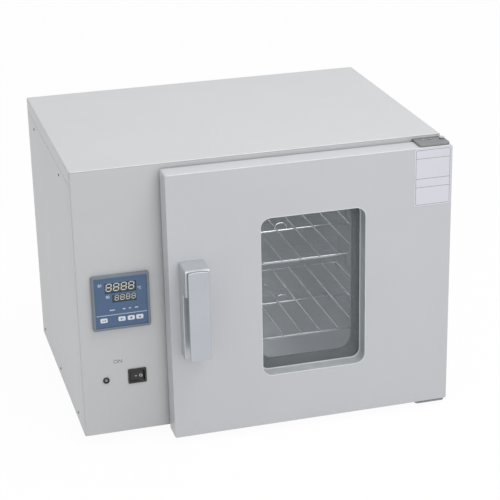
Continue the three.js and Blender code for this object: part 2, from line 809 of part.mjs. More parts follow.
// Motor bracket: a strip bent into a hat that stands off the compartment's inner wall.
function motorBracket() {
  const wall = compartmentWidth - seat;
  const top = compartmentWidth - motorStandoff;
  const thick = motorBracketThickness;
  const half = motorBracketSpan / 2;
  const low = fanCentreZ - half;
  const high = fanCentreZ + half;
  const hat = new THREE.Shape();
  [[wall, low - motorEar], [wall, low + thick], [top, low + thick], [top, high - thick],
    [wall, high - thick], [wall, high + motorEar], [wall - thick, high + motorEar],
    [wall - thick, high], [top - thick, high], [top - thick, low], [wall - thick, low],
    [wall - thick, low - motorEar]].forEach(([x, z], i) => {
    if (i === 0) hat.moveTo(x, z);
    else hat.lineTo(x, z);
  });
  return cut(
    prism('y', hat, fanCentreY - motorBracketWidth / 2, fanCentreY + motorBracketWidth / 2),
    bar('x', [fanCentreY, fanCentreZ], fanShaft + seat, top - thick - over, top + over));
}

function temperatureProbe() {
  return join(
    bar('x', [probeY, probeZ], probeRadius, compartmentWidth - probeBack / 2, chamberLeft + probeReach, 12),
    bar('x', [probeY, probeZ], 2 * probeRadius, compartmentWidth - probeBack / 2,
      compartmentWidth - seat, 6));
}

// Wire shelf: a bent frame with one wire across its middle, welded rods lying over them from
// front to back, and a lifting loop at the middle wire.
function shelf(z) {
  const left = chamberLeft + shelfSideGap + shelfWire;
  const right = chamberRight - shelfSideGap - shelfWire;
  const front = shelfFront + shelfWire;
  const back = shelfFront + shelfDepth - shelfWire;
  const straight = shelfBend - shelfWire;
  const along = (x) => bar('y', [x, z], shelfWire, front + straight, back - straight, 6);
  const across = (y, from, to) => bar('x', [y, z], shelfWire, from, to, 6);
  const rodZ = z + shelfWire + shelfRod - shelfRodSink;
  const rodCount = Math.floor((right - left) / shelfRodPitch);
  const rods = [];
  for (let i = 0; i < rodCount; i += 1) {
    const x = chamberCentre + (i - (rodCount - 1) / 2) * shelfRodPitch;
    rods.push(bar('y', [x, rodZ], shelfRod, front - shelfRodProud, back + shelfRodProud, 5));
  }
  const middle = shelfFront + shelfMiddle;
  const loop = new THREE.CubicBezierCurve3(
    ...[[-1, 0], [-1, 1], [1, 1], [1, 0]].map(([hand, up]) => new THREE.Vector3(
      chamberCentre + shelfLoopShift + hand * shelfLoopWidth / 2, middle,
      z + up * shelfLoopRise / bezierPeakShare)));
  return join(
    along(left), along(right),
    across(front, left + straight, right - straight),
    across(back, left + straight, right - straight),
    across(middle, left, right),
    wire(loop, shelfRod, 6, 5),
    quarterBend(left, front, z, shelfBend, 1, 1, shelfWire),
    quarterBend(right, front, z, shelfBend, -1, 1, shelfWire),
    quarterBend(left, back, z, shelfBend, 1, -1, shelfWire),
    quarterBend(right, back, z, shelfBend, -1, -1, shelfWire),
    ...rods);
}

// Shelf runner: an angle strip on a duct plate, under a shelf's side wire.
function runner(side, z) {
  const face = side === 'left' ? chamberLeft + seat : chamberRight - seat;
  const inward = side === 'left' ? 1 : -1;
  const top = z - shelfWire - seat;
  const outline = polygon(
    [face, top - runnerThickness], [face, top - runnerHeight],
    [face + inward * runnerThickness, top - runnerHeight],
    [face + inward * runnerThickness, top - runnerThickness],
    [face + inward * runnerWidth, top - runnerThickness],
    [face + inward * runnerWidth, top], [face, top]);
  return prism('y', outline, linerFront + runnerMargin, linerBack - runnerMargin);
}

// Door skin: a painted pan with bent-in lips at the back and the window's reveal turned in.
function doorSkin() {
  const outer = roundedRect(doorLeft, doorRight, doorBottom, doorTop, doorCorner);
  const rear = doorRear - sheet - seat;
  const room = roundedRect(doorLeft + sheet, doorRight - sheet, doorBottom + sheet,
    doorTop - sheet, doorEdge);
  const mouth = roundedRect(doorLeft + doorLip, doorRight - doorLip, doorBottom + doorLip,
    doorTop - doorLip, doorEdge);
  const shell = cut(
    prism('y', outer, doorFront, rear + doorEdge, doorEdge, 2),
    box(doorLeft - over, doorRight + over, rear, rear + doorEdge + over, doorBottom - over, doorTop + over),
    prism('y', room, doorFront + sheet, rear - sheet),
    prism('y', mouth, rear - over - sheet, rear + over));
  const sill = (grow) => roundedRect(
    windowLeft - grow, windowRight + grow, windowFloor - grow, windowTop + grow, windowRadius + grow);
  return cut(
    join(shell, prism('y', sill(sheet), doorFront + sheet / 2, doorFront + revealDepth)),
    prism('y', sill(0), doorFront - over, doorFront + revealDepth + over),
    box(slotLeft, slotRight, doorFront - over, doorFront + over,
      slotFloor + slotDrop / 2, pinZ + slotRise),
    bar('z', [hingeX, hingeY], hingeCollar + seat, doorBottom - over, doorTop + over));
}

// Door inner panel: a stainless plate with a raised plug that stands in the chamber's mouth.
function doorInnerPanel() {
  const plate = roundedRect(doorLeft + innerInset, doorRight - innerInset,
    doorBottom + innerInset, doorTop - innerInset, doorEdge);
  const plug = (shrink) => roundedRect(
    chamberLeft + plugMargin + shrink, chamberRight - plugMargin - shrink,
    chamberFloor + plugMargin + shrink, chamberTop - plugMargin - shrink, plugRadius - shrink);
  const front = doorRear - sheet;
  return cut(
    join(prism('y', plate, front, doorRear), prism('y', plug(0), front, doorRear + plugDepth)),
    prism('y', plug(sheet), front - over, doorRear + plugDepth - sheet),
    prism('y', tunnelOutline(0), doorRear, doorRear + plugDepth + over),
    box(slotLeft, slotRight, front - over, doorRear + over, slotFloor, pinZ + slotRise));
}

function tunnelOutline(grow) {
  const inset = tunnelInset - grow;
  return roundedRect(windowLeft + inset, windowRight - inset, windowFloor + inset,
    windowTop - inset, tunnelRadius + grow);
}

function windowOutline(grow) {
  return roundedRect(
    windowLeft - grow, windowRight + grow, windowFloor - grow, windowTop + grow, windowRadius + grow);
}

// Window frame: the dark tunnel between the two panes, with the outer pane let into its face.
function windowFrame() {
  const front = doorFront + revealDepth + seat;
  const back = doorRear + plugDepth - sheet - seat - glassThickness - seat;
  const ledge = front + glassThickness + seat;
  return cut(
    prism('y', windowOutline(frameLap), front, back),
    prism('y', windowOutline(glassLap + seat), front - over, ledge),
    loftAlongY(windowOutline(0), tunnelOutline(0), ledge - over, back + over));
}

function glass(outline, front) {
  return prism('y', outline, front, front + glassThickness);
}

// Door insulation: a pad that fills the skin round the window frame, notched at the hinges.
function doorInsulation() {
  const front = doorFront + sheet + seat;
  const back = doorRear - 2 * sheet - 2 * seat - seat;
  const pad = roundedRect(doorLeft + sheet + seat, doorRight - sheet - seat,
    doorBottom + sheet + seat, doorTop - sheet - seat, doorEdge);
  const notch = hingeBlockWidth + 2 * sheet;
  const rise = hingeBlockHeight + 2 * sheet;
  return cut(
    prism('y', pad, front, back),
    prism('y', windowOutline(frameLap + seat), front - over, back + over),
    box(doorRight - notch, doorRight + over, front - over, back + over, doorTop - rise, doorTop + over),
    box(doorRight - notch, doorRight + over, front - over, back + over, doorBottom - over, doorBottom + rise),
    box(slotLeft, slotRight, front - over, back + over, slotFloor, pinZ + slotRise));
}

// Door gasket: a silicone ring on the inner panel, met by the mouth frame.
function doorGasket() {
  const ring = (grow) => roundedRect(chamberLeft - grow, chamberRight + grow,
    chamberFloor - grow, chamberTop + grow, mouthRadius + grow / 2);
  const from = doorRear + seat;
  const to = mouthFront - seat;
  return cut(
    prism('y', ring(gasketInset + gasketWidth), from, to, gasketEdge, 1),
    prism('y', ring(gasketInset), from - over, to + over));
}

// Hinge block: fills a corner of the door and carries the pin in its collar.
function hingeBlock(level) {
  const top = level === 'top';
  const wall = top ? doorTop - sheet - seat : doorBottom + sheet + seat;
  const inner = top ? wall - hingeBlockHeight : wall + hingeBlockHeight;
  const rim = top ? doorTop : doorBottom;
  const block = prism('y', roundedRect(
    doorRight - sheet - seat - hingeBlockWidth, doorRight - sheet - seat,
    Math.min(wall, inner), Math.max(wall, inner), doorCorner),
  doorFront + sheet + seat, doorRear - 2 * sheet - 3 * seat, 0, 0, 1);
  const collar = bar('z', [hingeX, hingeY], hingeCollar, Math.min(wall, rim) - (top ? over : 0),
    Math.max(wall, rim) + (top ? 0 : over));
  return cut(join(block, collar),
    bar('z', [hingeX, hingeY], hingeBore, Math.min(inner, rim) - over, Math.max(inner, rim) + over));
}

// Hinge bracket: an angle on the front panel whose level plate carries the pin.
function hingeBracket(level) {
  const top = level === 'top';
  const near = top ? doorTop + hingeClearance : doorBottom - hingeClearance - hingePlate;
  const reach = top ? hingeTopReach : hingeBottomReach;
  const right = hingeX + hingePlateRadius - seat;
  const left = right - hingePlateWidth;
  const plate = roundedRect(left, right, -reach, hingePlateRadius, hingePlateRadius);
  const legFrom = top ? near + hingePlate - hingeLeg : near;
  const legTo = top ? near + hingePlate : near + hingeLeg;
  return cut(
    join(
      prism('z', plate, near, near + hingePlate),
      box(left, left + hingeLegWidth, -hingePlate - seat, -seat, legFrom, legTo)),
    box(left - over, right + over, -seat, hingePlateRadius + over, near - over, near + hingePlate + over),
    bar('z', [hingeX, hingeY], hingeBore, near - over, near + hingePlate + over));
}

function hingePin(level) {
  const top = level === 'top';
  const outer = top ? doorTop + hingeClearance + hingePlate + seat
    : doorBottom - hingeClearance - hingePlate - seat;
  const head = top ? outer + hingeHeadHeight : outer - hingeHeadHeight;
  const tip = top ? doorTop - hingeBlockHeight : doorBottom + hingeBlockHeight;
  return join(
    bar('z', [hingeX, hingeY], hingePinRadius, Math.min(tip, outer) - (top ? 0 : seat),
      Math.max(tip, outer) + (top ? seat : 0)),
    bar('z', [hingeX, hingeY], hingeHeadRadius, Math.min(head, outer), Math.max(head, outer)));
}

// Handle base: a casting seen from the side as a flat foot and a block that stands out above,
// slotted from front to back for the lever.
function handleBasePiece() {
  const foot = handleBack - handleBase;
  const blockBottom = handleTop - handleBlock;
  const outline = new THREE.Shape();
  outline.moveTo(handleBack, handleBottom);
  outline.lineTo(foot + handleNose, handleBottom);
  outline.quadraticCurveTo(foot, handleBottom, foot, handleBottom + handleNose);
  outline.lineTo(foot, blockBottom - handleFillet);
  outline.quadraticCurveTo(foot, blockBottom, foot - handleFillet, blockBottom);
  outline.lineTo(blockFront + handleNose, blockBottom);
  outline.quadraticCurveTo(blockFront, blockBottom, blockFront, blockBottom + handleNose);
  outline.lineTo(blockFront, handleTop - handleNose);
  outline.quadraticCurveTo(blockFront, handleTop, blockFront + handleNose, handleTop);
  outline.lineTo(handleBack, handleTop);
  outline.closePath();
  const half = handleWidth / 2;
  return cut(
    prism('x', outline, handleCentreX - half, handleCentreX + half, handleEdge, 2, 4),
    box(handleCentreX - half - over, handleCentreX + half + over, handleBack, handleBack + over + handleEdge,
      handleBottom - over - handleEdge, handleTop + over + handleEdge),
    box(handleCentreX - leverSlot / 2, handleCentreX + leverSlot / 2, blockFront - over,
      handleBack + over, blockBottom - over, handleTop - leverRoof),
    bar('x', [pinY, pinZ], leverPinRadius + seat, handleCentreX - half - over,
      handleCentreX + half + over, 16));
}

// Lever: a grip plate with crowned ends in front of the block, with two ears on the pin.
function handleLever() {
  const half = gripWidth / 2;
  const left = handleCentreX - half;
  const right = handleCentreX + half;
  const low = handleBottom + gripBottomRise;
  const high = handleTop - gripTopDrop;
  const face = new THREE.Shape();
  face.moveTo(right, low + gripCorner);
  face.lineTo(right, high - gripCorner);
  face.quadraticCurveTo(right, high, right - gripCorner, high);
  face.quadraticCurveTo(handleCentreX, high + gripCrown, left + gripCorner, high);
  face.quadraticCurveTo(left, high, left, high - gripCorner);
  face.lineTo(left, low + gripCorner);
  face.quadraticCurveTo(left, low, left + gripCorner, low);
  face.quadraticCurveTo(handleCentreX, low - gripCrown, right - gripCorner, low);
  face.quadraticCurveTo(right, low, right, low + gripCorner);
  const plate = prism('y', face, gripFront, gripBack, gripEdge, 2, 3);
  const ear = new THREE.Shape();
  ear.moveTo(gripBack - gripThickness / 2, pinZ + leverHub / 2);
  ear.lineTo(pinY, pinZ + leverHub);
  ear.absarc(pinY, pinZ, leverHub, Math.PI / 2, -Math.PI / 2, true);
  ear.lineTo(gripBack - gripThickness / 2, pinZ - leverLug);
  ear.closePath();
  const lug = leverSlot / 2 - leverFit;
  return cut(
    join(plate, prism('x', ear, handleCentreX - lug, handleCentreX + lug)),
    box(handleCentreX - hookThickness / 2 - seat, handleCentreX + hookThickness / 2 + seat,
      gripBack + seat, pinY + leverHub + over, pinZ - leverLug - over, pinZ + leverHub + over),
    bar('x', [pinY, pinZ], leverPinRadius + seat, handleCentreX - half, handleCentreX + half, 16));
}

// Latch hook: a steel strip on the same pin that reaches through the door to the keeper.
function latchHook() {
  const top = pinZ + hookHeight / 3;
  const bottom = top - hookHeight;
  const outline = new THREE.Shape();
  outline.moveTo(pinY, pinZ - leverHub);
  outline.lineTo(pinY + 2 * leverHub, bottom);
  outline.lineTo(hookReach - hookTooth / 2, bottom);
  outline.lineTo(hookReach, bottom + hookHeight / 2);
  outline.lineTo(hookReach, top + hookToothRise);
  outline.lineTo(hookReach - hookTooth, top + hookToothRise);
  outline.lineTo(hookReach - hookTooth, top);
  outline.lineTo(pinY + 2 * leverHub, top);
  outline.lineTo(pinY, pinZ + leverHub);
  outline.absarc(pinY, pinZ, leverHub, Math.PI / 2, 1.5 * Math.PI);
  return cut(
    prism('x', outline, handleCentreX - hookThickness / 2, handleCentreX + hookThickness / 2),
    bar('x', [pinY, pinZ], leverPinRadius + seat, handleCentreX - hookThickness,
      handleCentreX + hookThickness, 16));
}

function handlePin() {
  const half = handleWidth / 2 - seat;
  return bar('x', [pinY, pinZ], leverPinRadius, handleCentreX - half, handleCentreX + half, 16);
}

// Latch keeper: a small bracket behind the front panel with a round bar over the hook's way.
function latchKeeper() {
  const inner = hookThickness / 2 + slotSide;
  const outer = inner + keeperCheek;
  const barZ = pinZ + hookHeight / 3 + hookToothRise + keeperClearance + keeperBar;
  const front = mouthFront;
  const cheekLow = pinZ - hookHeight;
  const cheekHigh = barZ + 2 * keeperBar;
  const plate = cut(
    box(handleCentreX - outer, handleCentreX + outer, front, front + keeperCheek,
      slotFloor - keeperFoot, cheekHigh + keeperFoot),
    box(handleCentreX - inner, handleCentreX + inner, front - over, front + over,
      slotFloor, barZ + keeperBar));
  const cheeks = [-1, 1].map((hand) => {
    const a = handleCentreX + hand * inner;
    const b = handleCentreX + hand * outer;
    return box(Math.min(a, b), Math.max(a, b), front, front + keeperDepth, cheekLow, cheekHigh);
  });
  return join(plate, ...cheeks, bar('x', [keeperBarInset, barZ], keeperBar,
    handleCentreX - outer, handleCentreX + outer, 16));
}

// Controller places
const faceFront = -controllerProud + faceRecess;
const faceBack = faceFront + faceThickness;
const controllerOpening = controllerSize / 2 - controllerBorder;

function controllerBezel() {
  const half = controllerSize / 2;
  const ring = prism('y', roundedRect(controllerCentreX - half, controllerCentreX + half,
    controllerCentreZ - half, controllerCentreZ + half, controllerRadius),
  -controllerProud, -seat, controllerBorder / 3, 2, 1);
  return cut(ring, box(
    controllerCentreX - controllerOpening, controllerCentreX + controllerOpening,
    -controllerProud - over, over,
    controllerCentreZ - controllerOpening, controllerCentreZ + controllerOpening));
}

function displayRects(grow) {
  const row = (width, height, rise, shift) => [
    controllerCentreX + shift - width / 2 - grow, controllerCentreX + shift + width / 2 + grow,
    controllerCentreZ + rise - height / 2 - grow, controllerCentreZ + rise + height / 2 + grow];
  return [
    row(upperDisplayWidth, upperDisplayHeight, upperDisplayRise, 0),
    row(lowerDisplayWidth, lowerDisplayHeight, lowerDisplayRise, lowerDisplayShift)];
}

// The display's pane: one plate behind both of the face's windows.
function displayPane(grow, from, to) {
  const rects = displayRects(grow);
  return box(
    Math.min(...rects.map((r) => r[0])), Math.max(...rects.map((r) => r[1])), from, to,
    Math.min(...rects.map((r) => r[2])), Math.max(...rects.map((r) => r[3])));
}

function controllerFace() {
  const half = controllerOpening - seat;
  const plate = box(controllerCentreX - half, controllerCentreX + half, faceFront, faceBack,
    controllerCentreZ - half, controllerCentreZ + half);
  return cut(plate,
    ...displayRects(0).map(([x0, x1, z0, z1]) =>
      box(x0, x1, faceFront - over, faceBack + over, z0, z1)),
    displayPane(displayThickness + seat, faceBack - displayThickness - 2 * seat, faceBack + over),
    ...Object.values(keyPlaceShares).map((share) =>
      keyBlock(share, keyFit, faceFront - over, faceBack + over)));
}

function keyBlock(share, grow, from, to, edge = 0) {
  const x = controllerCentreX + share * cutoutSize;
  const z = controllerCentreZ - keyDrop;
  return prism('y', roundedRect(x - keyWidth / 2 - grow, x + keyWidth / 2 + grow,
    z - keyHeight / 2 - grow, z + keyHeight / 2 + grow, keyRadius), from, to, edge, 1, 1);
}

function displayWindow() {
  return displayPane(displayThickness, faceBack - displayThickness - seat, faceBack - seat);
}

function controllerHousing() {
  const half = cutoutSize / 2 - seat;
  const nose = controllerOpening - seat;
  return cut(
    join(
      box(controllerCentreX - half, controllerCentreX + half, 0, controllerDepth,
        controllerCentreZ - half, controllerCentreZ + half),
      box(controllerCentreX - nose, controllerCentreX + nose, faceBack + seat + keyProud, over,
        controllerCentreZ - nose, controllerCentreZ + nose)),
    box(controllerCentreX - half / 2, controllerCentreX + half / 2, controllerDepth - controllerBorder,
      controllerDepth + over, controllerCentreZ - half / 2, controllerCentreZ + half / 2));
}

// Lamp: a turned ring with a barrel behind the panel and a domed lens.
function lampBezel() {
  const bore = lampLensRadius + seat;
  return turned('y', [lampCentreX, lampCentreZ], [
    [bore, -lampProud], [lampRadius - lampEdge, -lampProud], [lampRadius, lampEdge - lampProud],
    [lampRadius, -seat], [lampBarrel, -seat], [lampBarrel, lampDepth], [bore, lampDepth],
    [bore, -lampProud]]);
}

function lampLens() {
  return turned('y', [lampCentreX, lampCentreZ], [
    [0, -lampProud], [lampLensRadius / 2, lampEdge / 2 - lampProud], [lampLensRadius, -seat],
    [lampLensRadius, lampDepth / 2], [0, lampDepth / 2]], 12);
}

// Power switch: a flanged case with a rocker that tips about an upright axle.
function switchHousing() {
  const flange = prism('y', roundedRect(
    switchCentreX - switchWidth / 2, switchCentreX + switchWidth / 2,
    switchCentreZ - switchHeight / 2, switchCentreZ + switchHeight / 2, switchRadius),
  -switchFlange - seat, -seat, switchFlange / 4, 1, 2);
  const body = box(switchCentreX - switchBody / 2, switchCentreX + switchBody / 2, -seat - seat,
    switchDepth, switchCentreZ - switchBodyHeight / 2, switchCentreZ + switchBodyHeight / 2);
  const halfW = rockerWidth / 2 + rockerFit;
  const halfH = rockerHeight / 2 + seat;
  return cut(join(flange, body),
    box(switchCentreX - halfW, switchCentreX + halfW, -switchFlange - over, switchDepth / 2 + rockerBack,
      switchCentreZ - halfH, switchCentreZ + halfH),
    bar('z', [switchCentreX, rockerPivotInset], rockerAxle + seat,
      switchCentreZ - halfH - rockerAxleReach - seat, switchCentreZ + halfH + rockerAxleReach + seat, 12));
}

function switchRocker() {
  const half = rockerWidth / 2;
  const paddle = new THREE.Shape();
  paddle.moveTo(-half, rockerBack);
  paddle.lineTo(-half, -rockerReach);
  paddle.quadraticCurveTo(0, -rockerReach + half * Math.sin(THREE.MathUtils.degToRad(2 * rockerTilt)),
    half, -rockerReach);
  paddle.lineTo(half, rockerBack);
  paddle.absarc(0, rockerBack, half / 2, 0, Math.PI);
  paddle.closePath();
  const tilt = THREE.MathUtils.degToRad(-rockerTilt);
  const halfH = rockerHeight / 2;
  return join(
    prism('z', paddle, -halfH, halfH, 0, 0, 4),
    bar('z', [0, 0], rockerAxle, -halfH - rockerAxleReach, halfH + rockerAxleReach, 12))
    .rotate([0, 0, THREE.MathUtils.radToDeg(tilt)])
    .translate([switchCentreX, rockerPivotInset, switchCentreZ]);
}

// Vent: a tube from the chamber through the wool to the back, ending in a face with two
// windows, and a cap with matching windows that turns on the face's pin hole.
function sectorWindows(from, to, turn) {
  const inner = ventHub + ventWall;
  const outer = ventRadius - 2 * ventWall;
  return [0, Math.PI].map((start) => {
    const half = ventHoleShare * Math.PI / 2;
    const middle = start + turn;
    const outline = new THREE.Shape();
    outline.absarc(0, 0, outer, middle - half, middle + half);
    outline.absarc(0, 0, inner, middle + half, middle - half, true);
    return prism('y', outline, from, to).translate([ventX, 0, ventZ]);
  });
}

function ventTube() {
  const back = bodyDepth + ventProud;
  const start = linerBack + linerWall + seat;
  const tube = join(
    bar('y', [ventX, ventZ], ventRadius, start, back),
    bar('y', [ventX, ventZ], ventCollar, bodyDepth + seat, back));
  return cut(tube,
    bar('y', [ventX, ventZ], ventRadius - ventWall, start - over, back - ventFace),
    bar('y', [ventX, ventZ], ventPin + seat, back - ventFace - over, back + over),
    ...sectorWindows(back - ventFace - over, back + over, 0));
}

function ventShutter() {
  const front = bodyDepth + ventProud + seat;
  const back = front + ventCapThickness;
  const grip = box(ventX - ventGripWidth / 2, ventX + ventGripWidth / 2, back - seat,
    back + ventGripHeight, ventZ - ventCapRadius + ventCapRim, ventZ + ventCapRadius - ventCapRim);
  return join(
    cut(bar('y', [ventX, ventZ], ventCapRadius, front, back),
      ...sectorWindows(front - over, back + over, 0)),
    cut(grip, bar('y', [ventX, ventZ], over, back + ventGripHeight, back + ventGripHeight + over, 12)),
    bar('y', [ventX, ventZ], ventPin, front - ventCapPin, back));
}

// Cable gland with an open bore and a six-sided nut outside.
function cableGland() {
  const outside = bodyDepth + seat;
  return cut(
    join(
      bar('y', [glandX, glandZ], glandBody, backFace - glandInside, bodyDepth + glandProud),
      bar('y', [glandX, glandZ], glandNut, outside, outside + glandProud / 3, 6),
      bar('y', [glandX, glandZ], glandNut, outside + glandProud / 3, outside + 2 * glandProud / 3, 16,
        glandBody),
      bar('y', [glandX, glandZ], glandNut, backFace - glandProud / 3 - seat, backFace - seat, 6)),
    bar('y', [glandX, glandZ], glandBore, backFace - glandInside - over,
      bodyDepth + glandProud + over, 12));
}

// Relay on its finned heat sink, standing on the base pan.
function relay() {
  const floor = sheet + seat;
  const sinkTop = floor + relayBase + relayFinHeight;
  const fins = [];
  const pitch = (relayWidth - relayFin) / (relayFinCount - 1);
  for (let i = 0; i < relayFinCount; i += 1) {
    fins.push(box(relayX + i * pitch, relayX + i * pitch + relayFin, relayY, relayY + relayLength,
      floor, sinkTop));
  }
  return join(
    box(relayX, relayX + relayWidth, relayY, relayY + relayLength, floor, floor + relayBase),
    box(relayX, relayX + relayWidth, relayY, relayY + relayLength, sinkTop - relayBase, sinkTop),
    ...fins,
    box(relayX, relayX + relayWidth, relayY + relayBase, relayY + relayLength - relayBase,
      sinkTop - seat, sinkTop + relayHeight));
}

function foot(x, y) {
  return turned('z', [x, y], [
    [0, -footHeight + footRecess], [footRecessRadius, -footHeight + footRecess],
    [footRecessRadius, -footHeight], [footRadius - footTaper, -footHeight],
    [footRadius, -seat], [0, -seat]]);
}

place('front_panel', frontPanel(), cabinetPaint);
place('top_cover', topCover(), cabinetPaint);
place('left_side_panel', sidePanel(false), cabinetPaint);
place('right_side_panel', sidePanel(true), cabinetPaint);
place('back_panel', backPanel(), cabinetPaint);
place('base_pan', basePan(), cabinetPaint);
place('chamber_liner', chamberLiner(), stainless);
place('mouth_frame', mouthFrame(), stainless);
place('duct_plate_left', ductPanel('left'), stainless);
place('duct_plate_right', ductPanel('right'), stainless);
place('insulation', insulation(), wool);
place('heater', heater(), steel);
place('fan_impeller', fan(), steel);
place('fan_motor', fanMotor(), steel);
place('motor_bracket', motorBracket(), steel);
place('temperature_probe', temperatureProbe(), steel);
place('shelf_upper', shelf(upperShelfZ), chrome);
place('shelf_lower', shelf(lowerShelfZ), chrome);
[['upper', upperShelfZ], ['lower', lowerShelfZ]].forEach(([level, z]) => {
  ['left', 'right'].forEach((side) => {
    place('runner_' + level + '_' + side, runner(side, z), stainless);
  });
});
place('door_skin', doorSkin(), cabinetPaint);
place('door_inner_panel', doorInnerPanel(), stainless);
place('door_insulation', doorInsulation(), wool);
place('window_frame', windowFrame(), darkFrame);
place('glass_outer', glass(windowOutline(glassLap), doorFront + revealDepth + seat), glazing);
place('glass_inner', glass(tunnelOutline(glassLap),
  doorRear + plugDepth - sheet - seat - glassThickness), glazing);
place('door_gasket', doorGasket(), silicone);
['top', 'bottom'].forEach((level) => {
  place('hinge_block_' + level, hingeBlock(level), steel);
  place('hinge_bracket_' + level, hingeBracket(level), steel);
  place('hinge_pin_' + level, hingePin(level), chrome);
});
place('handle_base', handleBasePiece(), chrome);
place('handle_lever', handleLever(), chrome);
place('handle_pin', handlePin(), steel);
place('latch_hook', latchHook(), steel);
place('latch_keeper', latchKeeper(), steel);
place('controller_bezel', controllerBezel(), controllerGrey);
place('controller_face', controllerFace(), controllerBlue);
place('controller_housing', controllerHousing(), blackPlastic);
place('display_window', displayWindow(), darkLens);
Object.entries(keyPlaceShares).forEach(([name, share]) => {
  place(name, keyBlock(share, 0, faceFront - keyProud, faceFront - keyProud + keyDepth, seat),
    keyPlastic);
});
place('lamp_bezel', lampBezel(), blackPlastic);
place('lamp_lens', lampLens(), lampGlass);
place('switch_housing', switchHousing(), blackPlastic);
place('switch_rocker', switchRocker(), blackPlastic);
place('vent_tube', ventTube(), stainless);
place('vent_shutter', ventShutter(), blackPlastic);
place('cable_gland', cableGland(), blackPlastic);
place('relay', relay(), steel);
[['front', footInsetY], ['back', bodyDepth - footInsetY]].forEach(([row, y]) => {
  [['left', footInsetX], ['right', bodyWidth - footInsetX]].forEach(([side, x]) => {
    place('foot_' + row + '_' + side, foot(x, y), rubber);
  });
});

// The origin: under the middle of everything, on the ground that the feet stand on
const ventReach = ventProud + seat + ventCapThickness + ventGripHeight;
const farBack = bodyDepth + Math.max(ventReach, glandProud);
oven.position.set(-doorRight / 2, -(gripFront + farBack) / 2, footHeight);

export default oven;
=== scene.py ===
# %% [markdown]
# # A bench-top drying oven, dressed for its picture
# The solids of the oven are finished elsewhere and come in as a fixed frame: every sheet, wire and key
# is already at its real size and place. This lesson gives them their finishes, softens their edges,
# and adds the small things that are easier to make here, such as screws, digits and printed marks.

import json
import math

import bmesh
import bpy
from mathutils import Matrix, Vector
from mathutils.bvhtree import BVHTree


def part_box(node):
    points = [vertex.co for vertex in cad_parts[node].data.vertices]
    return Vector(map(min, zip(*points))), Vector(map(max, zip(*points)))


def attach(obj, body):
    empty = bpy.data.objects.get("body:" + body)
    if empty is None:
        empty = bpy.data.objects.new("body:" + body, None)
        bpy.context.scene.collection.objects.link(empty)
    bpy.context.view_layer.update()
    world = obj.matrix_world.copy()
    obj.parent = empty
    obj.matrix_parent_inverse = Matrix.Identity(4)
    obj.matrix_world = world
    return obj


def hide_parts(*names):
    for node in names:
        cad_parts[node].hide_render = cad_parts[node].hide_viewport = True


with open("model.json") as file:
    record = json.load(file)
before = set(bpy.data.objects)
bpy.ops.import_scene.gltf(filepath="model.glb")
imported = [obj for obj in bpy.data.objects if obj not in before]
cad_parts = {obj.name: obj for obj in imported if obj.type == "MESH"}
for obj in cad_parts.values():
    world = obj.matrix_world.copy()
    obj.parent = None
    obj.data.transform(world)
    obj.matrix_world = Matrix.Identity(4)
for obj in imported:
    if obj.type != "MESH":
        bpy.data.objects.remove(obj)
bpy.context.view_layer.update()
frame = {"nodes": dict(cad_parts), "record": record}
record = frame["record"]
mm = 0.001
body_of = {node: body for body, nodes in record["behaviour"]["bodies"].items() for node in nodes}

# %% [markdown]
# ## The camera
# The picture was taken from the left front and a little above, with a long lens, so that the upright
# edges nearly stay upright. A camera is placed by its point, its azimuth, its elevation and a small
# roll. Building its axes by hand keeps the roll exact, which a tracking constraint would lose.

# %% Camera
view_point = Vector((-0.6716, -2.5512, 1.2871))
view_azimuth = math.radians(-15.33669)
view_elevation = math.radians(21.57931)
view_roll = math.radians(-1.22727)
lens = 115.08
sensor = 36.0

away = Vector((math.sin(view_azimuth) * math.cos(view_elevation),
               -math.cos(view_azimuth) * math.cos(view_elevation),
               math.sin(view_elevation)))
level = Vector((math.cos(view_azimuth), math.sin(view_azimuth), 0))
upward = away.cross(level)
camera_x = math.cos(view_roll) * level + math.sin(view_roll) * upward
camera_y = -math.sin(view_roll) * level + math.cos(view_roll) * upward
camera_data = bpy.data.cameras.new("camera")
camera_data.lens = lens
camera_data.sensor_width = sensor
camera = bpy.data.objects.new("camera", camera_data)
camera.matrix_world = Matrix.Translation(view_point) @ Matrix(
    (camera_x, camera_y, away)).transposed().to_4x4()
bpy.context.scene.collection.objects.link(camera)
bpy.context.scene.camera = camera

# %% [markdown]
# ## Light, world and floor
# A pale sheet-metal box needs soft light with a clear direction, or its faces melt together. A large
# lamp above the right front makes the top the lightest face and the left side the darkest. The world
# gives the even part. The camera, mirrors and glass see a white world, while the light on the oven
# comes from a dimmer one, so that the background is white and the paint keeps its colour.

# %% Light
scene = bpy.context.scene
scene.view_settings.view_transform = "Standard"
world_light = 0.6
key_power = 18.5
fill_power = 9.5
side_power = 0.8
chamber_power = 0.5


def node(tree, kind, **values):
    made = tree.nodes.new(kind)
    for name, value in values.items():
        setattr(made, name, value)
    return made


def seen_directly(tree):
    """1 for rays from the camera, a mirror or glass, and 0 for the light that falls on things."""
    path = node(tree, "ShaderNodeLightPath")
    glossy = node(tree, "ShaderNodeMath", operation="MAXIMUM")
    tree.links.new(path.outputs["Is Camera Ray"], glossy.inputs[0])
    tree.links.new(path.outputs["Is Glossy Ray"], glossy.inputs[1])
    every = node(tree, "ShaderNodeMath", operation="MAXIMUM")
    tree.links.new(glossy.outputs[0], every.inputs[0])
    tree.links.new(path.outputs["Is Transmission Ray"], every.inputs[1])
    return every.outputs[0]


